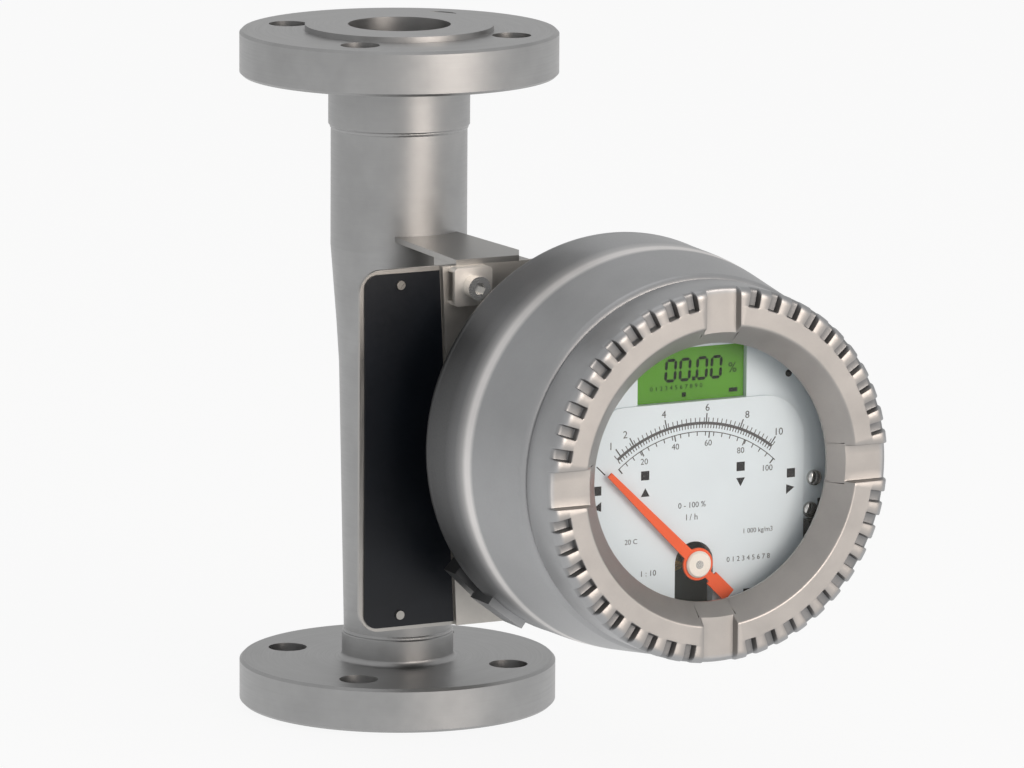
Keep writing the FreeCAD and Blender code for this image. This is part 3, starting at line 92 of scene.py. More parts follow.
def link(name, mesh, body, material, standing_for=()):
    """Puts a finished mesh on a body, with its finish and the node it stands for."""
    thing = bpy.data.objects.new(name, mesh)
    bpy.context.scene.collection.objects.link(thing)
    mesh.materials.append(material)
    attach(thing, body)
    if standing_for:
        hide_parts(*standing_for)
    return thing


def grid_faces(rows, columns, wrap_rows, wrap_columns):
    """Quads over a grid of rows by columns points, closed round where asked."""
    index = np.arange(rows * columns).reshape(rows, columns)
    row = index if wrap_rows else index[:-1]
    below = np.roll(index, -1, 0) if wrap_rows else index[1:]
    if wrap_columns:
        corners = (row, np.roll(row, -1, 1), np.roll(below, -1, 1), below)
    else:
        corners = (row[:, :-1], row[:, 1:], below[:, 1:], below[:, :-1])
    return np.stack([corner.ravel() for corner in corners], 1)


def in_triangles(quads):
    """Each quad as two triangles."""
    return np.concatenate([quads[:, :3], quads[:, [0, 2, 3]]])


def grid_mesh(name, points, wrap_rows, wrap_columns, crease=40):
    """Mesh of quads over a grid of points (rows, columns, 3)."""
    faces = grid_faces(*points.shape[:2], wrap_rows, wrap_columns)
    return solid_mesh(name, points.reshape(-1, 3), faces, crease)


def solid_mesh(name, points, faces, crease=40):
    """Mesh from points and faces of equal length, smooth but for edges over crease degrees.
    Faces are turned outwards by the sign of the volume that they enclose."""
    spots = points[faces]
    fan = np.cross(spots[:, 1:-1] - spots[:, :1], spots[:, 2:] - spots[:, :1])
    volume = np.einsum("ik,ijk->", spots[:, 0], fan) / 6
    if volume < 0:
        faces = faces[:, ::-1]
    mesh = bpy.data.meshes.new(name)
    mesh.from_pydata(points.tolist(), [], faces.tolist())
    mesh.polygons.foreach_set("use_smooth", np.ones(len(faces), bool))
    mesh.update()
    mesh.set_sharp_from_angle(angle=math.radians(crease))
    return mesh


def on_dial(across, up, out):
    """Points at (across, up) from the dial's axis and out in front of the pipe axis."""
    across, up, out = np.broadcast_arrays(across, up, out)
    return np.stack([DIAL_X + across, -out, DIAL_Z + up], -1)


def even_turns(count):
    """Turns in radians that share a full circle evenly."""
    return np.arange(count) * (2 * math.pi / count)


# ------------------------------------------------------------------ finishes

class Nodes:
    """Small helper to lay out and wire one tree of nodes."""

    def __init__(self, tree):
        self.tree = tree

    def add(self, kind, **values):
        node = self.tree.nodes.new(kind)
        for key, value in values.items():
            setattr(node, key, value)
        return node

    def wire(self, source, target):
        self.tree.links.new(source, target)

    def feed(self, node, items):
        """Gives a node's inputs, in their order, a number or another node's output."""
        for socket, item in zip(node.inputs, items):
            if isinstance(item, bpy.types.NodeSocket):
                self.wire(item, socket)
            else:
                socket.default_value = item
        return node.outputs[0]

    def maths(self, operation, *items):
        return self.feed(self.add("ShaderNodeMath", operation=operation), items)

    def vector_maths(self, operation, *items):
        return self.feed(self.add("ShaderNodeVectorMath", operation=operation), items)

    def place(self, shift=(0, 0, 0), scale=(1, 1, 1)):
        """Object coordinates, moved and stretched."""
        source = self.add("ShaderNodeTexCoord").outputs["Object"]
        mapping = self.add("ShaderNodeMapping")
        mapping.inputs["Location"].default_value = shift
        mapping.inputs["Scale"].default_value = scale
        self.wire(source, mapping.inputs["Vector"])
        return mapping.outputs[0]

    def split(self, vector):
        """The three parts of a vector."""
        node = self.add("ShaderNodeSeparateXYZ")
        self.wire(vector, node.inputs[0])
        return node.outputs

    def noise(self, vector, scale, detail=3.0, rough=0.55):
        node = self.add("ShaderNodeTexNoise")
        node.inputs["Scale"].default_value = scale
        node.inputs["Detail"].default_value = detail
        node.inputs["Roughness"].default_value = rough
        self.wire(vector, node.inputs["Vector"])
        return node.outputs["Fac"]

    def ramp(self, value, stops):
        """Colours at places from 0 to 1 of a value."""
        node = self.add("ShaderNodeValToRGB")
        ramp = node.color_ramp
        while len(ramp.elements) < len(stops):
            ramp.elements.new(0.5)
        for element, (place, colour) in zip(ramp.elements, stops):
            element.position = place
            element.color = (*colour, 1.0)
        self.wire(value, node.inputs["Fac"])
        return node.outputs["Color"]

    def greys(self, value, stops):
        """Shades of grey at places from 0 to 1 of a value."""
        return self.ramp(value, [(place, (grey,) * 3) for place, grey in stops])

    def between(self, value, low, high, to_low=0.0, to_high=1.0):
        """Carries low to high of a value to to_low to to_high."""
        node = self.add("ShaderNodeMapRange")
        node.inputs["From Min"].default_value = low
        node.inputs["From Max"].default_value = high
        node.inputs["To Min"].default_value = to_low
        node.inputs["To Max"].default_value = to_high
        self.wire(value, node.inputs["Value"])
        return node.outputs["Result"]

    def spread(self, noise, low, high):
        """Carries the part of a noise where nearly all of it lies to low to high."""
        return self.between(noise, 0.3, 0.7, low, high)

    def bump(self, height, distance, strength=1.0, after=None):
        node = self.add("ShaderNodeBump")
        node.inputs["Strength"].default_value = strength
        node.inputs["Distance"].default_value = distance
        self.wire(height, node.inputs["Height"])
        if after is not None:
            self.wire(after, node.inputs["Normal"])
        return node.outputs["Normal"]


class Finish(Nodes):
    """Nodes of one new material."""

    def __init__(self, name):
        self.material = bpy.data.materials.new(name)
        self.material.use_nodes = True
        super().__init__(self.material.node_tree)
        self.shader = self.tree.nodes["Principled BSDF"]

    def tint(self, clouds, colour, swing, stops=(0.3, 0.5, 0.72)):
        """A colour that clouds make darker and lighter."""
        return self.ramp(clouds, list(zip(stops, shades(colour, swing))))

    def worn(self, fine, clouds, roughness, swing, below, above):
        """Roughness that swings with a fine noise and drifts with the clouds."""
        return self.maths("ADD", self.spread(fine, -swing, swing),
                          self.spread(clouds, roughness - below, roughness + above))

    def finish(self, colour, roughness, normal=None, metallic=0.0):
        """Gives the shader its colour, roughness and bump, and returns the material."""
        for name, item in (("Base Color", colour), ("Roughness", roughness), ("Normal", normal)):
            if item is None:
                continue
            socket = self.shader.inputs[name]
            if isinstance(item, bpy.types.NodeSocket):
                self.wire(item, socket)
            else:
                socket.default_value = (*item, 1.0) if isinstance(item, tuple) else item
        self.shader.inputs["Metallic"].default_value = metallic
        return self.material


def shades(colour, swing):
    """Darker, plain and lighter version of a colour."""
    return [tuple(min(1.0, part * factor) for part in colour)
            for factor in (1 - swing, 1.0, 1 + swing)]


def turned_steel(name, colour, roughness, shift=(0, 0, 0), along="Z"):
    """Metal with fine turning lines round an axis: noise over (radius, height), which
    hardly changes with the angle, with slow clouds of colour over it."""
    n = Finish(name)
    vector = n.place(shift=shift)
    first, second, height = n.split(vector)
    if along == "Y":
        second, height = height, second
    radius = n.maths("SQRT", n.maths("ADD", n.maths("MULTIPLY", first, first),
                                     n.maths("MULTIPLY", second, second)))
    angle = n.maths("MULTIPLY", n.maths("ARCTAN2", first, second), 0.0006)
    joined = n.feed(n.add("ShaderNodeCombineXYZ"), (radius, height, angle))
    fine = n.noise(joined, 2600.0, 2.0, 0.7)
    clouds = n.noise(vector, 55.0, 3.0, 0.6)
    grains = n.noise(vector, 1900.0, 2.0, 0.7)
    tint = n.tint(clouds, colour, 0.10, (0.3, 0.52, 0.72))
    rough = n.worn(fine, clouds, roughness, 0.05, 0.05, 0.05)
    normal = n.bump(grains, 0.00002, 0.3, n.bump(fine, 0.00003, 0.35))
    return n.finish(tint, rough, normal, 1.0)


def blasted_steel(name, colour, roughness, grain, depth, cloud):
    """Bead-blasted cast metal: grains of about half a millimetre under slow clouds."""
    n = Finish(name)
    vector = n.place()
    grains = n.noise(vector, grain, 3.0, 0.65)
    clouds = n.noise(vector, cloud, 4.0, 0.6)
    rough = n.worn(grains, clouds, roughness, 0.04, 0.04, 0.05)
    return n.finish(n.tint(clouds, colour, 0.09), rough, n.bump(grains, depth, 0.55), 1.0)


def barrel_steel(name, colour, roughness):
    """Blasted cast metal with a painted highlight band round its shoulder, and painted shade: the
    shade follows the distance in front of the pipe, and the rear zone is darker towards its left
    side."""
    n = Finish(name)
    vector = n.place()
    grains = n.noise(vector, 1500.0, 3.0, 0.65)
    clouds = n.noise(vector, 38.0, 4.0, 0.6)
    across, depth, height = n.split(vector)
    # painted shade and highlight: from the dark rear zone, over the painted highlight band round
    # the shoulder, to the plain front zone
    along = n.between(n.maths("MULTIPLY", depth, -1.0), 0.100, 0.150)
    left = n.between(n.maths("SUBTRACT", DIAL_X, across), 0.020, 0.060)
    above_foot = n.between(height, DIAL_Z - 0.060, DIAL_Z - 0.050)
    # painted shade: the rear zone is darkened towards its left side, above the foot
    rear = n.greys(along, [(0.0, 0.22), (0.35, 0.28), (0.56, 0.58), (0.66, 1.0)])
    painted_highlight, black = (1.0, 0.93, 0.87), (0.0, 0.0, 0.0)
    # painted highlight: a warm bright band added to the colour round the shoulder
    band = n.ramp(along, [(0.50, black), (0.60, tuple(part * 0.35 for part in painted_highlight)),
                          (0.645, painted_highlight), (0.695, painted_highlight), (0.74, black)])
    shade = n.add("ShaderNodeMix", data_type="FLOAT")
    n.wire(n.maths("MULTIPLY", left, above_foot), shade.inputs["Factor"])
    shade.inputs["A"].default_value = 1.0
    n.wire(rear, shade.inputs["B"])
    total = n.vector_maths("ADD", shade.outputs["Result"], band)
    scaled = n.vector_maths("MULTIPLY", n.tint(clouds, colour, 0.07), total)
    rough = n.worn(grains, clouds, roughness, 0.04, 0.04, 0.05)
    return n.finish(scaled, rough, n.bump(grains, 0.00005, 0.55), 1.0)


def cover_steel(name, face_colour, side_colour, roughness):
    """Blasted cover ring: warm on the turned face, like the barrel on its side, and darker in the
    grip notches with painted shade."""
    n = Finish(name)
    vector = n.place()
    grains = n.noise(vector, 1700.0, 3.0, 0.65)
    clouds = n.noise(vector, 60.0, 4.0, 0.6)
    turned = n.add("ShaderNodeAttribute", attribute_name="turned")
    tint = n.ramp(turned.outputs["Fac"], [(0.0, side_colour), (1.0, face_colour)])
    # painted shade: the grip notches are darkened by their depth below the face
    notch_shade = n.add("ShaderNodeAttribute", attribute_name="notch_shade")
    notch_darkening = n.maths("MULTIPLY", notch_shade.outputs["Fac"], -0.45)
    total = n.maths("ADD", n.maths("ADD", notch_darkening, 1.0), n.spread(clouds, -0.07, 0.07))
    scaled = n.vector_maths("MULTIPLY", tint, total)
    rough = n.worn(grains, clouds, roughness, 0.04, 0.04, 0.05)
    return n.finish(scaled, rough, n.bump(grains, 0.00004, 0.5), 1.0)


def sheet_steel(name, colour, roughness):
    """Rolled sheet: noise drawn out along the rolling direction."""
    n = Finish(name)
    fine = n.noise(n.place(scale=(1.0, 1.0, 0.03)), 3200.0, 3.0, 0.6)
    clouds = n.noise(n.place(), 45.0, 3.0, 0.6)
    rough = n.worn(fine, clouds, roughness, 0.06, 0.03, 0.03)
    return n.finish(n.tint(clouds, colour, 0.08), rough, n.bump(fine, 0.00003, 0.3), 1.0)


def moulded(name, colour, roughness, grain=1400.0, depth=0.00002, swing=0.03, metallic=0.0,
            gloss=0.5):
    """Moulded or painted surface with a fine grain and a slight change of shade."""
    n = Finish(name)
    n.shader.inputs["Specular IOR Level"].default_value = gloss
    vector = n.place()
    grains = n.noise(vector, grain, 2.0, 0.6)
    clouds = n.noise(vector, 60.0, 2.0, 0.5)
    rough = n.spread(grains, roughness - 0.04, roughness + 0.04)
    return n.finish(n.tint(clouds, colour, swing, (0.3, 0.5, 0.7)), rough,
                    n.bump(grains, depth, 0.4), metallic)


def clear_glass(name):
    """Clear window: nearly see-through, with the gloss of its surface."""
    n = Finish(name)
    haze = n.noise(n.place(), 30.0, 2.0, 0.5)
    n.shader.inputs["Alpha"].default_value = 0.02
    n.shader.inputs["IOR"].default_value = 1.5
    return n.finish((0.93, 0.97, 0.95), n.spread(haze, 0.02, 0.06))


def lit_display(name, colour):
    """Green face of the display, mottled a little, with little gloss."""
    n = Finish(name)
    vector = n.place()
    cells = n.noise(vector, 2500.0, 1.0, 0.5)
    clouds = n.noise(vector, 40.0, 2.0, 0.5)
    n.shader.inputs["Specular IOR Level"].default_value = 0.2
    return n.finish(n.tint(clouds, colour, 0.07, (0.3, 0.5, 0.7)), n.spread(cells, 0.25, 0.33))


# ------------------------------------------------------------------ settings

def length(name, text, default):
    return bpy.props.FloatProperty(name=name, description=text, default=default, min=0.0,
                                   precision=5, subtype="DISTANCE", unit="LENGTH")


def power(name, text, default):
    return bpy.props.FloatProperty(name=name, description=text, default=default, min=0.0)


def paint(name, text, default):
    return bpy.props.FloatVectorProperty(name=name, description=text, default=default, size=3,
                                         min=0.0, max=1.0, subtype="COLOR")


def factor(name, text, default):
    return bpy.props.FloatProperty(name=name, description=text, default=default, min=0.0, max=1.0,
                                   subtype="FACTOR")


class FlowMeterFinishes(bpy.types.PropertyGroup):
    pipe: paint("Pipe steel", "Colour of flanges and measuring tube", (0.358, 0.358, 0.358))
    housing: paint("Housing steel", "Colour of the blasted housing", (0.375, 0.378, 0.384))
    cover: paint("Cover steel", "Colour of the cover ring", (0.385, 0.367, 0.352))
    sheet: paint("Sheet steel", "Colour of bracket and plates", (0.36, 0.352, 0.338))
    # painted light: the clamp pads' colour is lightened far above the sheet steel to stand in for
    # the light falling on them
    pads: paint("Clamp pads", "Colour of the blasted clamp pads", (0.78, 0.75, 0.71))
    front: paint("Front plate", "Colour of the plate behind the housing", (0.52, 0.50, 0.47))
    label: paint("Name plate", "Colour of the dark plate", (0.006, 0.008, 0.012))
    dial: paint("Dial white", "Colour of dial and scale plate", (0.66, 0.745, 0.80))
    print_ink: paint("Print", "Colour of scales and numbers", (0.022, 0.022, 0.026))
    scale_ink: paint("Scale print", "Colour of the fine scale lines", (0.10, 0.10, 0.105))
    pointer: paint("Pointer", "Colour of the pointer", (0.80, 0.10, 0.02))
    hub: paint("Pointer hub", "Colour of the pointer's hub", (0.80, 0.76, 0.70))
    display: paint("Display", "Colour of the lit display", (0.078, 0.27, 0.010))
    digits: paint("Digits", "Colour of the display's segments", (0.004, 0.010, 0.004))


class FlowMeterCover(bpy.types.PropertyGroup):
    rim: length("Rim radius", "Outer radius of the cover ring", 0.0659)
    edge: length("Window edge", "Radius of the clear window", 0.0454)
    cone_depth: length("Cone depth", "Depth of the cone round the window", 0.0082)
    cone_width: length("Cone width", "Radial width of the cone round the window", 0.0072)
    lip: length("Lip", "Thickness of the lip over the window", 0.0012)
    rounding: length("Rim rounding", "Rounding of the front rim", 0.0028)
    foot: length("Foot", "Distance from the face back to the ring's foot", 0.0202)
    bevel: length("Foot bevel", "Bevel of the ring's foot and thread", 0.001)
    thread: length("Thread radius", "Outer radius of the threaded skirt", 0.0594)
    bore: length("Skirt bore", "Inner radius of the threaded skirt", 0.056)
    slot_width: length("Slot width", "Width of the wrench slots", 0.0127)
    recess: length("Recess depth", "Depth of the wrench slots and grip notches", 0.003)
    runout: length("Recess rounding", "Rounding of a recess at the rim", 0.0015)
    notch_width: length("Notch width", "Width of the grip notches", 0.0037)
    notch_root: length("Notch root", "Radius at which the grip notches start", 0.0594)
    arris: length("Arris", "Rounding of the edges of slots and notches", 0.0004)
    notches: bpy.props.IntProperty(name="Notches", description="Grip notches between two slots",
                                   default=10, min=2)


class FlowMeterWeld(bpy.types.PropertyGroup):
    lower_radius: length("Lower radius", "Radius of the tube's foot", 0.0196)
    rise: length("Rise", "Half height of a bead across the seam", 0.0010)
    half_width: length("Half width", "Half width of a bead along the pipe", 0.0012)
    sink: length("Sink", "How far the middle of a bead lies inside the tube's surface", 0.0006)
    ripples: bpy.props.IntProperty(name="Ripples", description="Ripples round a bead",
                                   default=72, min=1)


class FlowMeterStage(bpy.types.PropertyGroup):
    floor: paint("Floor", "Colour of the floor", (0.86, 0.86, 0.86))
    glow: factor("Backdrop", "Share of plain white in the floor", 0.9)
    room: factor("Room light", "Strength of the room's light", 0.50)
    mirror_room: factor("Reflected room", "Strength of the room as metal and glass show it", 0.69)
    key: power("Key lamp", "Power of the large front lamp in watts", 30.0)
    top: power("Top lamp", "Power of the top lamp in watts", 2.0)
    key_tint: paint("Key tint", "Colour of the front lamp", (1.0, 0.89, 0.80))


FINISHES = {}


# ------------------------------------------------------------------ pieces

class FLOWMETER_OT_finishes(bpy.types.Operator):
    """Makes the finishes and puts them on the pieces of the frame"""
    bl_idname = "flowmeter.finishes"
    bl_label = "Finishes"

    def execute(self, context):
        look = context.scene.flowmeter_finishes
        dial = (-DIAL_X, 0, -DIAL_Z)
        hub = (-DIAL_X, 0, -HUB_Z)
        steel = (0.42, 0.41, 0.39)
        FINISHES.update({
            "pipe": turned_steel("pipe_steel", tuple(look.pipe), 0.40),
            "inner": turned_steel("inner_steel", steel, 0.30),
            "shaft": turned_steel("shaft_steel", steel, 0.28, hub, "Y"),
            "magnet": moulded("magnet_grey", (0.05, 0.05, 0.055), 0.5, metallic=0.6),
            "sheet": sheet_steel("sheet_steel", tuple(look.sheet), 0.36),
            "label": moulded("label_dark", tuple(look.label), 0.34, grain=900.0, swing=0.15,
                             gloss=0.3),
            "weld": blasted_steel("weld_steel", tuple(look.pipe), 0.38, grain=900.0,
                                  depth=0.00006, cloud=120.0),
            "screws": turned_steel("screw_steel", (0.36, 0.35, 0.33), 0.33, dial, "Y"),
            "housing": barrel_steel("housing_steel", tuple(look.housing), 0.42),
            "front": blasted_steel("front_steel", tuple(look.front), 0.5, grain=1700.0,
                                   depth=0.00003, cloud=60.0),
            "bolts": turned_steel("bolt_steel", (0.70, 0.69, 0.67), 0.22),
            # painted light: the pads' lightened colour stands in for the light on them
            "pads": blasted_steel("pad_steel_painted_light", tuple(look.pads), 0.5, grain=1700.0,
                                  depth=0.00004, cloud=80.0),
            "cover": cover_steel("cover_steel", tuple(look.cover), tuple(look.housing), 0.42),
            "seal": moulded("seal_rubber", (0.012, 0.012, 0.012), 0.6),
            "brass": turned_steel("bearing_brass", (0.55, 0.40, 0.16), 0.3, hub, "Y"),
            "chassis": moulded("chassis_anodised", (0.045, 0.062, 0.068), 0.42, metallic=0.3),
            "board": moulded("board_green", (0.015, 0.09, 0.03), 0.3),
            "spacer": moulded("spacer_white", (0.62, 0.62, 0.60), 0.5),
            "module": moulded("module_black", (0.006, 0.006, 0.007), 0.3, gloss=0.25),
            "display": lit_display("display_green", tuple(look.display)),
            "dial": moulded("dial_white", tuple(look.dial), 0.5, grain=1800.0, depth=0.00001,
                            swing=0.015),
            "terminal": turned_steel("terminal_bright", (0.55, 0.55, 0.54), 0.15, dial, "Y"),
            "pointer": moulded("pointer_orange", tuple(look.pointer), 0.45, grain=1500.0,
                               depth=0.00001, swing=0.05, gloss=0.2),
            "hub": moulded("hub_white", tuple(look.hub), 0.4),
            "glass": clear_glass("window_clear"),
            "print": moulded("print_black", tuple(look.print_ink), 0.6, gloss=0.1),
            "scale": moulded("print_grey", tuple(look.scale_ink), 0.6, gloss=0.1),
            "digits": moulded("segments_dark", tuple(look.digits), 0.5, gloss=0.05),
        })
        by_slot = {
            "flange_steel": "pipe", "tube_steel": "pipe", "inner_steel": "inner",
            "magnet": "magnet", "sheet_steel": "sheet", "label": "label",
            "screw_steel": "screws", "housing_steel": "housing", "cover_steel": "cover",
            "seal_rubber": "seal", "bearing_brass": "brass", "chassis": "chassis",
            "board": "board", "spacer": "spacer", "module": "module", "display": "display",
            "dial_white": "dial", "terminal_chrome": "terminal", "pointer_orange": "pointer",
            "pointer_white": "hub", "glass": "glass",
        }
        own_finish = {"pointer_shaft": "shaft", "magnet_carrier": "shaft", "clamp_pads": "pads",
                      "front_plate": "front", "clamp_screws": "bolts"}
        for part in frame["record"]["subparts"]:
            thing = frame["nodes"][part["node"]]
            finish = FINISHES[by_slot[part["material_slot"]]]
            finish = FINISHES.get(own_finish.get(part["node"]), finish)
            thing.data.materials.clear()
            thing.data.materials.append(finish)
        return {"FINISHED"}


# Radial steps that round the crest between the ring's cone and face, and the inner edge of
# a grip notch with how deep the notch is there, short of its full depth in the last two.
CREST = np.array([-0.0003, -0.0001, 0.0002, 0.0006])
CREST_SINK = 0.00005
NOTCH_EDGE = np.array([-0.0003, -0.00008, 0.00002, 0.0001, 0.0004])
NOTCH_STEP = (0.0, 0.0002, 0.0006)
NOTCH_FILLET = 0.0004
# how near the plain stretches come to an edge, and where the face and a notch's floor start
CLEAR, FACE_START, FLOOR_START = 0.0008, 0.003, 0.0012
# where the straight stretches of rim, thread and seat have a row of points
RIM_ROW, THREAD_ROW, SEAT_ROW = 0.007, 0.006, 0.003
# width over which the warm turned face fades into the side
TURNED_EDGE = 0.0012
# radial step of a broken edge, and gap round the glass in its seat
BROKEN = 0.0001
SEAT_GAP = 0.00015


class FLOWMETER_OT_cover_ring(bpy.types.Operator):
    """Cover ring with its bevel, wrench slots and rows of grip notches"""
    bl_idname = "flowmeter.cover_ring"
    bl_label = "Cover Ring"

    def execute(self, context):
        """The ring is a profile (r, out) carried round the axis. The front of the profile
        has three versions, plain land, slot and notch, blended by the turn. A column beside
        a recess keeps its distance w from the middle of that recess, so at radius r it lies
        at the turn middle + asin(w / r)."""
        size = context.scene.flowmeter_cover
        land, slot, notch = ring_profiles(size)
        tail = ring_tail(size)
        plain, slotted, notched = (np.concatenate([part, tail]) for part in (land, slot, notch))
        middles, offsets, in_slot, in_notch = ring_columns(size)
        shape = (plain[None] * (1 - in_slot - in_notch)[:, None, None]
                 + slotted[None] * in_slot[:, None, None] + notched[None] * in_notch[:, None, None])
        radius = shape[..., 0]
        turn = np.radians(middles)[:, None] + np.arcsin(offsets[:, None] / radius)
        points = on_dial(radius * np.sin(turn), radius * np.cos(turn), shape[..., 1])
        mesh = grid_mesh("cover_ring_shell", points, True, True, 32)
        # painted shade in the grip notches: darker the deeper they lie below the plain face, and
        # not warm there
        below = np.clip((plain[None, :, 1] - shape[..., 1]) / size.recess, 0, 1)
        notch_shade = below * (in_notch[:, None] > 0)
        front = np.clip((size.rim - size.rounding - radius) / TURNED_EDGE + 1, 0, 1)
        for name, values in (("notch_shade", notch_shade), ("turned", front * (1 - notch_shade))):
            layer = mesh.attributes.new(name, "FLOAT", "POINT")
            layer.data.foreach_set("value", values.ravel())
        link("cover_ring_shell", mesh, "cover", FINISHES["cover"], ["cover_ring"])
        return {"FINISHED"}


def ring_profiles(size):
    """Front of the cover ring as three rows of (r, out) that match point by point: cone,
    face and rim of the plain land, the slot's floor, and the notch's wall and floor. Both
    floors end at the rim in a quarter circle (rim - c + c sin a, floor - c + c cos a)."""
    face, floor = COVER_FACE, COVER_FACE - size.recess
    arc = np.linspace(0, math.pi / 2, 7)[1:]
    cone_out = size.edge + size.cone_width
    cone_mid = cone_out - size.recess * size.cone_width / size.cone_depth
    wall = size.notch_root
    radii = np.concatenate([
        np.linspace(cone_mid, cone_out - CLEAR, 5), cone_out + CREST,
        np.linspace(cone_out + FACE_START, wall - CLEAR, 3), wall + NOTCH_EDGE,
        np.linspace(wall + FLOOR_START, size.rim - size.rounding, 4)])
    outs = np.minimum(face, floor + (radii - cone_mid) * size.recess / (cone_out - cone_mid))
    # the crest's second point, after the cone's five, lies a little below the corner
    outs[6] -= CREST_SINK
    rim_start = size.rim - size.rounding
    land = np.concatenate([
        np.stack([radii, outs], 1),
        np.stack([rim_start + size.rounding * np.sin(arc),
                  face - size.rounding + size.rounding * np.cos(arc)], 1),
        [[size.rim, floor - size.runout * 0.6], [size.rim, floor - size.runout]]])
    run = size.rim - size.runout
    outer = np.concatenate([
        [[rim_start + (run - rim_start) * 0.7, floor], [run, floor]],
        np.stack([run + size.runout * np.sin(arc), floor - size.runout * (1 - np.cos(arc))], 1)])
    slot = np.concatenate([np.stack([radii, np.full(len(radii), floor)], 1), outer])
    step = np.interp(radii, wall + NOTCH_EDGE,
                     [*NOTCH_STEP, size.recess - NOTCH_FILLET, size.recess])
    notch = np.concatenate([np.stack([radii, outs - step], 1), outer])
    return land, slot, notch


def ring_tail(size):
    """Rest of the cover ring's profile: rim, foot, threaded skirt, seat and lip."""
    rear = back_of("cover_ring")
    foot = COVER_FACE - size.foot
    seat_out = COVER_FACE - size.cone_depth - size.lip
    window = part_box("window_glass")
    seat = (window[1].x - window[0].x) / 2 + SEAT_GAP
    retainer_rear = back_of("glass_retainer")
    return np.array([
        [size.rim, COVER_FACE - RIM_ROW], [size.rim, foot + size.bevel + 2 * BROKEN],
        [size.rim - BROKEN, foot + size.bevel - BROKEN],
        [size.rim - size.bevel, foot], [size.thread, foot], [size.thread, foot - THREAD_ROW],
        [size.thread, rear + size.bevel], [size.thread - size.bevel, rear], [size.bore, rear],
        [size.bore, retainer_rear], [seat, retainer_rear], [seat, seat_out],
        [size.edge + SEAT_ROW, seat_out], [size.edge + BROKEN, seat_out],
        [size.edge, seat_out + BROKEN], [size.edge, seat_out + size.lip - BROKEN],
        [size.edge + 2 * BROKEN, seat_out + size.lip + 2 * BROKEN]])


def ring_columns(size):
    """Columns of the cover ring: the turn of the recess each belongs to, its distance from
    that recess's middle, and its share of slot and of notch. One quarter runs from a slot's
    middle over the row of notches to the next slot's middle, and is repeated four times."""
    away = np.array([1.6, 0.7, 0.15, -0.15, -0.6, -1.6]) * size.arris
    share = np.array([0.0, 0.06, 0.25, 0.8, 0.97, 1.0])
    half_slot, half_notch = size.slot_width / 2, size.notch_width / 2
    beside = np.concatenate([half_slot + away, [half_slot * 0.45]])
    depth = np.append(share, 1.0)
    across = np.concatenate([-half_notch - away, [0.0], (half_notch + away)[::-1], [0.0]])
    sunk = np.concatenate([share, [1.0], share[::-1], [0.0]])
    pitch = 90.0 / (size.notches + 2)
    turns = np.repeat(pitch * (np.arange(size.notches) + 1.5), len(across))
    turns[len(across) - 1::len(across)] += pitch / 2
    none = np.zeros(len(beside))
    row = np.stack([turns, np.tile(across, size.notches), np.zeros(len(turns)),
                    np.tile(sunk, size.notches)], 1)[:-1]
    start = np.stack([none, np.append(beside, 0.0)[::-1][1:], depth[::-1], none], 1)
    middle_line = np.array([[0.0, 0.0, 1.0, 0.0]])
    end = np.stack([none + 90.0, -beside, depth, none], 1)
    quarter = np.concatenate([middle_line, start, row, end])
    whole = np.concatenate([quarter + [90.0 * number, 0, 0, 0] for number in range(4)])
    return whole.T


def flat_plate(outline, out):
    """Closed thin plate on the dial from an outline of (across, up) points: two copies of
    the outline with a fan to the middle on each and a wall between them."""
    count = len(outline)
    ring = np.concatenate([outline, outline, [outline.mean(0)], [outline.mean(0)]])
    depth = out + INK * np.concatenate([np.ones(count), np.zeros(count), [1, 0]])
    points = on_dial(ring[:, 0], ring[:, 1], depth)
    here = np.arange(count)
    after = (here + 1) % count
    front = np.stack([here, after, np.full(count, 2 * count)], 1)
    back = np.stack([after + count, here + count, np.full(count, 2 * count + 1)], 1)
    wall = np.concatenate([np.stack([here, here + count, after + count], 1),
                           np.stack([here, after + count, after], 1)])
    return points, np.concatenate([front, back, wall])


def arc_band(inner, outer, start, end, steps=48):
    """Closed band on the scale plate, about the pointer's axis: radius from inner to outer,
    turn from start to end in degrees, carried round as a small rectangle."""
    turn = np.radians(np.linspace(start, end, steps))[:, None]
    radius = np.array([inner, outer, outer, inner])
    depth = PLATE_FACE + INK * np.array([0, 0, 1, 1])
    points = on_dial(radius * np.sin(turn), radius * np.cos(turn) + HUB_DROP, depth)
    index = np.arange(steps * 4).reshape(steps, 4)
    faces = np.concatenate([grid_faces(steps, 4, False, True), [index[0][::-1], index[-1]]])
    return points.reshape(-1, 3), in_triangles(faces)


def tick(turn, inner, outer, width):
    """Radial line on the scale plate, about the pointer's axis, at a turn in degrees."""
    along = np.array([math.sin(math.radians(turn)), math.cos(math.radians(turn))])
    side = np.array([along[1], -along[0]]) * width / 2
    corners = np.array([along * inner - side, along * inner + side,
                        along * outer + side, along * outer - side])
    return flat_plate(corners + [0, HUB_DROP], PLATE_FACE)


def gather(parts):
    """Joins (points, triangles) shapes into one pair."""
    points, faces, base = [], [], 0
    for spots, corners in parts:
        points.append(spots)
        faces.append(corners + base)
        base += len(spots)
    return np.concatenate(points), np.concatenate(faces)


def print_shapes(name, shapes, ink):
    """Joins thin shapes into one printed mesh on the meter's body."""
    link(name, solid_mesh(name, *gather(shapes)), "meter_body", FINISHES[ink])


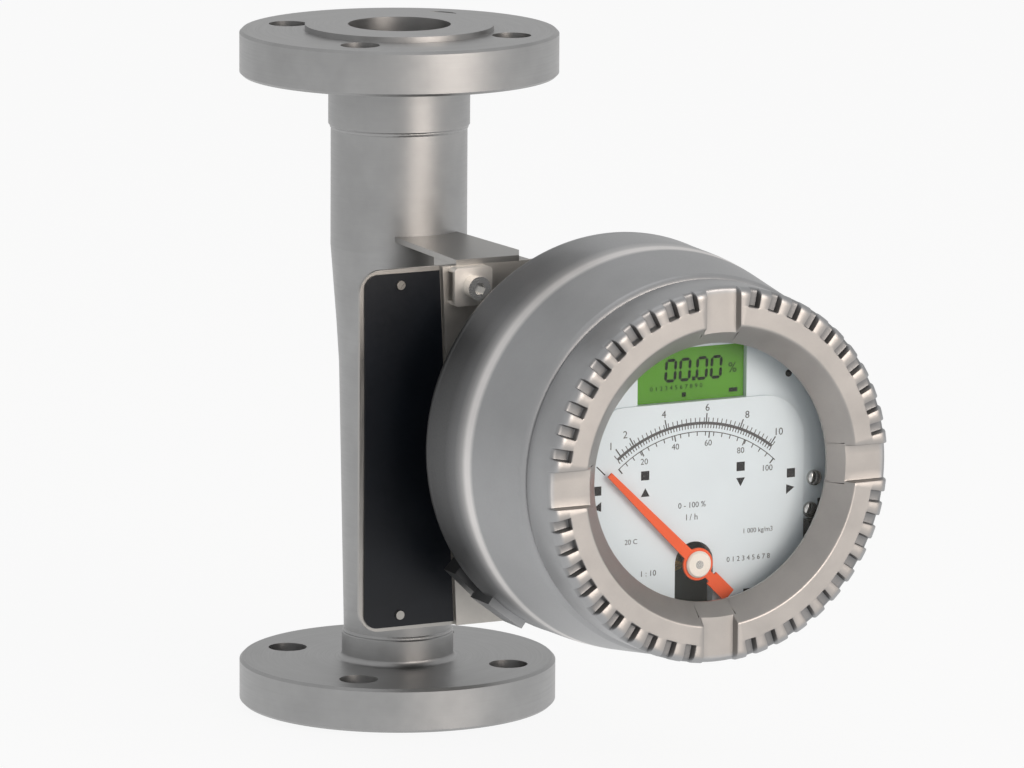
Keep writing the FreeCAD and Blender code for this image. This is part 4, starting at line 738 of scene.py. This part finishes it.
def lettering(text, across, up, height, out, squeeze=1.0):
    """Plain figures as a closed thin mesh, centred at (across, up) on the dial."""
    curve = bpy.data.curves.new("figures", "FONT")
    curve.body = text
    # the font's capitals fill 1 / 1.42 of its size
    curve.size = height * 1.42
    curve.align_x = "CENTER"
    curve.align_y = "CENTER"
    curve.resolution_u = 3
    curve.extrude = INK / 2
    holder = bpy.data.objects.new("figures", curve)
    bpy.context.scene.collection.objects.link(holder)
    bpy.context.view_layer.update()
    graph = bpy.context.evaluated_depsgraph_get()
    mesh = bpy.data.meshes.new_from_object(holder.evaluated_get(graph))
    bpy.data.objects.remove(holder)
    bpy.data.curves.remove(curve)
    mesh.calc_loop_triangles()
    spots = np.empty(len(mesh.vertices) * 3)
    mesh.vertices.foreach_get("co", spots)
    corners = np.empty(len(mesh.loop_triangles) * 3, int)
    mesh.loop_triangles.foreach_get("vertices", corners)
    bpy.data.meshes.remove(mesh)
    flat_x, flat_y, depth = spots.reshape(-1, 3).T
    points = on_dial(across + flat_x * squeeze, up + flat_y, out + INK / 2 + depth)
    return points, corners.reshape(-1, 3)


def figures_round(figures, radius, height):
    """Figures at their turns t, in degrees, round the pointer's axis: each is centred at
    radius x (sin t, cos t)."""
    turns = np.radians(list(figures.values()))
    across, up = radius * np.sin(turns), radius * np.cos(turns) + HUB_DROP
    return [lettering(text, x, y, height, PLATE_FACE) for text, x, y in zip(figures, across, up)]


# Both scales lie about the pointer's axis: radii and widths in metres, turns in degrees
# clockwise from straight up.
FLOW_INNER, FLOW_OUTER = 0.0486, 0.0496
PERCENT_INNER, PERCENT_OUTER = 0.0460, 0.0463
SCALE_LINES = ((FLOW_INNER, FLOW_OUTER, -38, 38), (PERCENT_INNER, PERCENT_OUTER, -40, 43))
# turns, inner radius, outer radius and width of each row of ticks
SCALE_TICKS = (
    (np.linspace(-38, 38, 39), FLOW_OUTER, 0.0511, 0.0003),
    (np.linspace(-38, 38, 58), 0.0474, FLOW_INNER, 0.00035),
    (np.linspace(-40, 42, 21), 0.0447, PERCENT_OUTER, 0.00035),
    ((-36, -29, -13, 5, 21, 37), FLOW_OUTER, 0.0526, 0.00045),
    ((-40, -27, -10, 7, 25, 42), 0.0440, PERCENT_OUTER, 0.00045),
)
REST_MARK = (-46, FLOW_INNER, 0.0532, 0.0004)
FLOW_FIGURES = {"1": -37, "2": -30, "4": -13, "6": 5, "8": 22, "10": 37}
PERCENT_FIGURES = {"20": -28, "40": -10.5, "60": 7, "80": 25.2, "100": 42.5}
FLOW_FIGURE_RADIUS, FLOW_FIGURE_HEIGHT = 0.0545, 0.0026
PERCENT_FIGURE_RADIUS, PERCENT_FIGURE_HEIGHT = 0.0421, 0.0021

# The rest of the print lies about the dial's axis, at (across, up) in metres.
SQUARE = np.array([[-1, -1], [1, -1], [1, 1], [-1, 1]])
KEY_HALF = 0.0016
KEY_SQUARES = ((-0.0194, -0.0017), (0.0180, -0.0015), (0.0379, -0.0054), (-0.0380, -0.0056))
UP_MARK = np.array([[-0.0017, -0.0013], [0.0017, -0.0013], [0.0, 0.0017]])
RIGHT_MARK = np.array([[-0.0014, -0.0017], [0.0018, 0.0006], [-0.0014, 0.0017]])
KEY_MARKS = ((UP_MARK, (-0.0193, -0.0078)), (-UP_MARK, (0.0180, -0.0068)),
             (RIGHT_MARK, (0.0375, -0.0111)), (-RIGHT_MARK, (-0.0378, -0.0112)))
DOT_RADIUS, DOT_PLACE = 0.0013, (0.0371, 0.0298)
CORNER_HALF, CORNER_PLACE = (0.00208, 0.0008), (0.0216, -0.0458)
# text, across, up and height of the small print
SMALL_PRINT = (
    ("0 - 100 %", -0.0010, -0.0136, 0.0020),
    ("l / h", -0.0010, -0.0179, 0.0022),
    ("1 000 kg/m3", 0.0250, -0.0246, 0.0017),
    ("20 C", -0.0247, -0.0247, 0.0018),
    ("1 : 10", -0.0180, -0.0364, 0.0020),
    ("0 1 2 3 4 5 6 7 8", 0.0214, -0.0342, 0.0018),
)


class FLOWMETER_OT_dial_print(bpy.types.Operator):
    """Scales, plain figures and marks printed on the scale plate"""
    bl_idname = "flowmeter.dial_print"
    bl_label = "Dial Print"

    def execute(self, context):
        fine = [arc_band(*line) for line in SCALE_LINES]
        for turns, inner, outer, width in SCALE_TICKS:
            fine += [tick(turn, inner, outer, width) for turn in turns]
        print_shapes("scale_lines", fine, "scale")

        figures = figures_round(FLOW_FIGURES, FLOW_FIGURE_RADIUS, FLOW_FIGURE_HEIGHT)
        figures += figures_round(PERCENT_FIGURES, PERCENT_FIGURE_RADIUS, PERCENT_FIGURE_HEIGHT)
        print_shapes("scale_figures", figures, "scale")

        marks = [flat_plate(SQUARE * KEY_HALF + place, PLATE_FACE) for place in KEY_SQUARES]
        marks += [flat_plate(mark + place, PLATE_FACE) for mark, place in KEY_MARKS]
        turns = even_turns(16)
        dot = np.stack([np.sin(turns), np.cos(turns)], 1) * DOT_RADIUS
        marks.append(flat_plate(dot + DOT_PLACE, DIAL_FACE))
        marks.append(tick(*REST_MARK))
        marks.append(flat_plate(SQUARE * CORNER_HALF + CORNER_PLACE, PLATE_FACE))
        print_shapes("dial_marks", marks, "print")

        words = [lettering(*row, PLATE_FACE) for row in SMALL_PRINT]
        print_shapes("dial_small_print", words, "scale")
        return {"FINISHED"}


# The reading is a row of zeros, at these places across and this height up the dial.
ZEROS_ACROSS = (-0.0082, -0.0026, 0.0040, 0.0096)
ZEROS_UP = 0.0338
ZERO_HEIGHT, ZERO_WIDTH, ZERO_STROKE, ZERO_SLANT = 0.0072, 0.0036, 0.0011, 0.06
# half sides and middle of the point, the long bar and the short bar
DISPLAY_BLOCKS = ((0.0007, (0.0008, 0.0304)), ((0.0017, 0.00075), (0.0163, 0.0253)),
                  (0.0008, (-0.0030, 0.0250)))


def zero(across):
    """Seven-segment zero: six bars of six corners, without the middle bar."""
    x, y, s = ZERO_WIDTH / 2, ZERO_HEIGHT / 2, ZERO_STROKE / 2
    shapes = []
    for mid_x, mid_y, standing in ((0, y, False), (x, y / 2, True), (x, -y / 2, True),
                                   (0, -y, False), (-x, -y / 2, True), (-x, y / 2, True)):
        reach = (y / 2 if standing else x) - s * 0.25
        bar = np.array([[-reach, 0], [-reach + s, -s], [reach - s, -s], [reach, 0],
                        [reach - s, s], [-reach + s, s]])
        if standing:
            bar = bar[:, ::-1] * [1, -1]
        slant = (bar[:, 1] + mid_y) * ZERO_SLANT
        corners = np.stack([bar[:, 0] + mid_x + slant + across, bar[:, 1] + mid_y + ZEROS_UP], 1)
        shapes.append(flat_plate(corners, DISPLAY_FACE))
    return shapes


class FLOWMETER_OT_display_reading(bpy.types.Operator):
    """Figures and marks on the lit display"""
    bl_idname = "flowmeter.display_reading"
    bl_label = "Display Reading"

    def execute(self, context):
        shapes = [bar for across in ZEROS_ACROSS for bar in zero(across)]
        shapes.append(lettering("%", 0.0160, 0.0330, 0.0036, DISPLAY_FACE))
        shapes.append(lettering("0 1 2 3 4 5 6 7 8 9 0", -0.0060, 0.0277, 0.0016, DISPLAY_FACE,
                                squeeze=1.1))
        for half, place in DISPLAY_BLOCKS:
            shapes.append(flat_plate(SQUARE * half + place, DISPLAY_FACE))
        print_shapes("display_reading", shapes, "digits")
        return {"FINISHED"}


# sizes of a terminal screw's head and shank
HEAD_RADIUS, SHANK_RADIUS, SHANK_DEPTH = 0.0028, 0.0014, 0.004
RIM_HEIGHT, DOME_START = 0.0005, 0.0008


class FLOWMETER_OT_terminal_screws(bpy.types.Operator):
    """Domed screws beside the terminal block"""
    bl_idname = "flowmeter.terminal_screws"
    bl_label = "Terminal Screws"

    def execute(self, context):
        """Each head is a low dome, out = base + height x cos(p) at radius x sin(p), with a
        short rim under it, carried round its own axis."""
        low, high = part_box("terminal_screws")
        base = DIAL_FACE
        turns = even_turns(40)[:, None]
        bend = np.linspace(math.pi / 2, 0.02, 12)
        radius = np.concatenate([[0.00001, SHANK_RADIUS, SHANK_RADIUS, HEAD_RADIUS, HEAD_RADIUS],
                                 HEAD_RADIUS * np.sin(bend)])
        dome = base + DOME_START + (-low.y - base - DOME_START) * np.cos(bend)
        out = np.concatenate([[base - SHANK_DEPTH, base - SHANK_DEPTH, base, base,
                               base + RIM_HEIGHT], dome])
        shapes = []
        for across, up in ((high.x - HEAD_RADIUS - DIAL_X, high.z - HEAD_RADIUS - DIAL_Z),
                           (low.x + HEAD_RADIUS - DIAL_X, low.z + HEAD_RADIUS - DIAL_Z)):
            points = on_dial(radius * np.sin(turns) + across, radius * np.cos(turns) + up, out)
            quads = grid_faces(*points.shape[:2], True, False)
            shapes.append((points.reshape(-1, 3), in_triangles(quads)))
        link("terminal_domes", solid_mesh("terminal_domes", *gather(shapes), 50), "meter_body",
             FINISHES["terminal"], ["terminal_screws"])
        return {"FINISHED"}


# A bead's height swells by these shares, with its ripples and with a slow drift.
RIPPLE, DRIFT, DRIFTS = 0.03, 0.04, 7


class FLOWMETER_OT_weld_beads(bpy.types.Operator):
    """Weld beads between the tube and the necks of its flanges"""
    bl_idname = "flowmeter.weld_beads"
    bl_label = "Weld Beads"

    def execute(self, context):
        """Each bead is a flat ellipse (half width x cos p, height x sin p) carried round the
        pipe, whose height swells a little with the weld's ripples."""
        size = context.scene.flowmeter_weld
        tube_low, tube_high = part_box("measuring_tube")
        turns = even_turns(360)
        bend = even_turns(14)
        swell = RIPPLE * np.sin(turns * size.ripples) + DRIFT * np.sin(turns * DRIFTS)
        for name, radius, height in (
                ("upper_weld", (tube_high.x - tube_low.x) / 2, tube_high.z),
                ("lower_weld", size.lower_radius, tube_low.z)):
            out = radius - size.sink + size.rise * np.sin(bend) * (1 + swell[:, None])
            up = height + size.half_width * np.cos(bend) * (1 + swell[:, None] / 2)
            points = np.stack([out * np.sin(turns)[:, None], out * np.cos(turns)[:, None], up], -1)
            mesh = grid_mesh(name, points, True, True, 60)
            link(name, mesh, "meter_body", FINISHES["weld"])
        return {"FINISHED"}


# ------------------------------------------------------------------ stage

# radii of the floor's rings, and how far the floor lies under the lower flange
FLOOR_RINGS = np.array([0.001, 0.4, 1.2, 3.0, 8.0])
FLOOR_SINK = 0.00005
# the camera's lens in millimetres, its place, the way it looks, and its roll in degrees
LENS, SENSOR = 293.87, 36.0
EYE = Vector((-1.30139, -2.67519, 0.67068))
AHEAD = Vector((0.442296, 0.878117, -0.182443))
ROLL = 0.3216


class FLOWMETER_OT_stage(bpy.types.Operator):
    """Pale floor, soft lamps and the camera"""
    bl_idname = "flowmeter.stage"
    bl_label = "Stage"

    def execute(self, context):
        scene = context.scene
        size = scene.flowmeter_stage
        self.lay_floor(scene, size)
        self.light_room(scene, size)
        self.set_camera(scene)
        scene.view_settings.view_transform = "Standard"
        return {"FINISHED"}

    def lay_floor(self, scene, size):
        """A disc of rings, radius x (sin t, cos t): white to the camera and in reflections,
        and plainly pale to the rest of the light."""
        turns = even_turns(96)[:, None]
        across, deep = FLOOR_RINGS * np.sin(turns), FLOOR_RINGS * np.cos(turns)
        points = np.stack([across, deep, np.full(across.shape, -FLOOR_SINK)], -1)
        mesh = grid_mesh("floor", points, True, False)
        floor = bpy.data.objects.new("floor", mesh)
        scene.collection.objects.link(floor)
        n = Finish("floor_white")
        dark, _, light = shades(tuple(size.floor), 0.01)
        n.finish(n.ramp(n.noise(n.place(), 2.0, 2.0), [(0.3, dark), (0.7, light)]), 0.9)
        rays = n.add("ShaderNodeLightPath").outputs
        mirrored = n.maths("MAXIMUM", rays["Is Glossy Ray"], rays["Is Transmission Ray"])
        seen = n.maths("MAXIMUM", rays["Is Camera Ray"], n.maths("MULTIPLY", mirrored, 0.95))
        white = n.add("ShaderNodeEmission")
        white.inputs["Color"].default_value = (1, 1, 1, 1)
        mix = n.add("ShaderNodeMixShader")
        plain = n.feed(mix, (n.maths("MULTIPLY", seen, size.glow), n.shader.outputs[0],
                             white.outputs[0]))
        n.wire(plain, n.tree.nodes["Material Output"].inputs["Surface"])
        mesh.materials.append(n.material)

    def set_camera(self, scene):
        """Looks ahead from the camera's place, rolled a little about that line."""
        camera = bpy.data.cameras.new("camera")
        camera.sensor_width = SENSOR
        camera.lens = LENS
        camera.clip_start, camera.clip_end = 0.1, 50.0
        eye = bpy.data.objects.new("camera", camera)
        scene.collection.objects.link(eye)
        ahead = AHEAD.normalized()
        roll = math.radians(ROLL)
        level = ahead.cross(Vector((0, 0, 1))).normalized()
        above = level.cross(ahead)
        right = level * math.cos(roll) + above * math.sin(roll)
        up = above * math.cos(roll) - level * math.sin(roll)
        turn = Matrix((right, up, -ahead)).transposed()
        eye.matrix_world = Matrix.Translation(EYE) @ turn.to_4x4()
        scene.camera = eye

    def light_room(self, scene, size):
        """Even room light, white to the eye and brighter in reflections, with two soft
        lamps."""
        world = bpy.data.worlds.new("room")
        world.use_nodes = True
        scene.world = world
        n = Nodes(world.node_tree)
        rays = n.add("ShaderNodeLightPath").outputs
        mirrored = n.maths("MAXIMUM", rays["Is Glossy Ray"], rays["Is Transmission Ray"])
        dim = n.between(mirrored, 0.0, 1.0, size.room, size.mirror_room)
        back = n.tree.nodes["Background"]
        n.wire(n.maths("MAXIMUM", rays["Is Camera Ray"], dim), back.inputs["Strength"])
        back.inputs["Color"].default_value = (1.0, 1.0, 1.0, 1.0)
        for name, place, aim, wide, tall, watts, tint in (
                ("key_lamp", (0.46, -2.24, 0.70), (0.03, -0.08, 0.13), 1.5, 1.3, size.key,
                 tuple(size.key_tint)),
                ("top_lamp", (0.1, 0.3, 1.9), (0.03, -0.05, 0.12), 1.1, 1.1, size.top,
                 (1.0, 1.0, 1.0))):
            lamp = bpy.data.lights.new(name, "AREA")
            lamp.shape = "RECTANGLE"
            lamp.size, lamp.size_y = wide, tall
            lamp.energy = watts
            lamp.color = tint
            thing = bpy.data.objects.new(name, lamp)
            spot = Vector(place)
            thing.location = spot
            thing.rotation_euler = (Vector(aim) - spot).to_track_quat("-Z", "Y").to_euler()
            scene.collection.objects.link(thing)


class FLOWMETER_PT_panel(bpy.types.Panel):
    """Lists the pieces of the flow meter"""
    bl_label = "Flow Meter"
    bl_idname = "FLOWMETER_PT_panel"
    bl_space_type = "VIEW_3D"
    bl_region_type = "UI"
    bl_category = "Flow Meter"

    def draw(self, context):
        for operator in PIECES:
            self.layout.operator(operator.bl_idname)


PIECES = (FLOWMETER_OT_finishes, FLOWMETER_OT_cover_ring, FLOWMETER_OT_dial_print,
          FLOWMETER_OT_display_reading, FLOWMETER_OT_terminal_screws, FLOWMETER_OT_weld_beads,
          FLOWMETER_OT_stage)
GROUPS = {"flowmeter_finishes": FlowMeterFinishes, "flowmeter_cover": FlowMeterCover,
          "flowmeter_weld": FlowMeterWeld, "flowmeter_stage": FlowMeterStage}


def register():
    for group in GROUPS.values():
        bpy.utils.register_class(group)
    for operator in PIECES + (FLOWMETER_PT_panel,):
        bpy.utils.register_class(operator)
    for name, group in GROUPS.items():
        setattr(bpy.types.Scene, name, bpy.props.PointerProperty(type=group))


def unregister():
    for name in GROUPS:
        delattr(bpy.types.Scene, name)
    for operator in PIECES + (FLOWMETER_PT_panel,):
        bpy.utils.unregister_class(operator)
    for group in GROUPS.values():
        bpy.utils.unregister_class(group)


def main():
    register()
    bpy.ops.flowmeter.finishes()
    bpy.ops.flowmeter.cover_ring()
    bpy.ops.flowmeter.dial_print()
    bpy.ops.flowmeter.display_reading()
    bpy.ops.flowmeter.terminal_screws()
    bpy.ops.flowmeter.weld_beads()
    bpy.ops.flowmeter.stage()


if __name__ == "__main__":
    main()
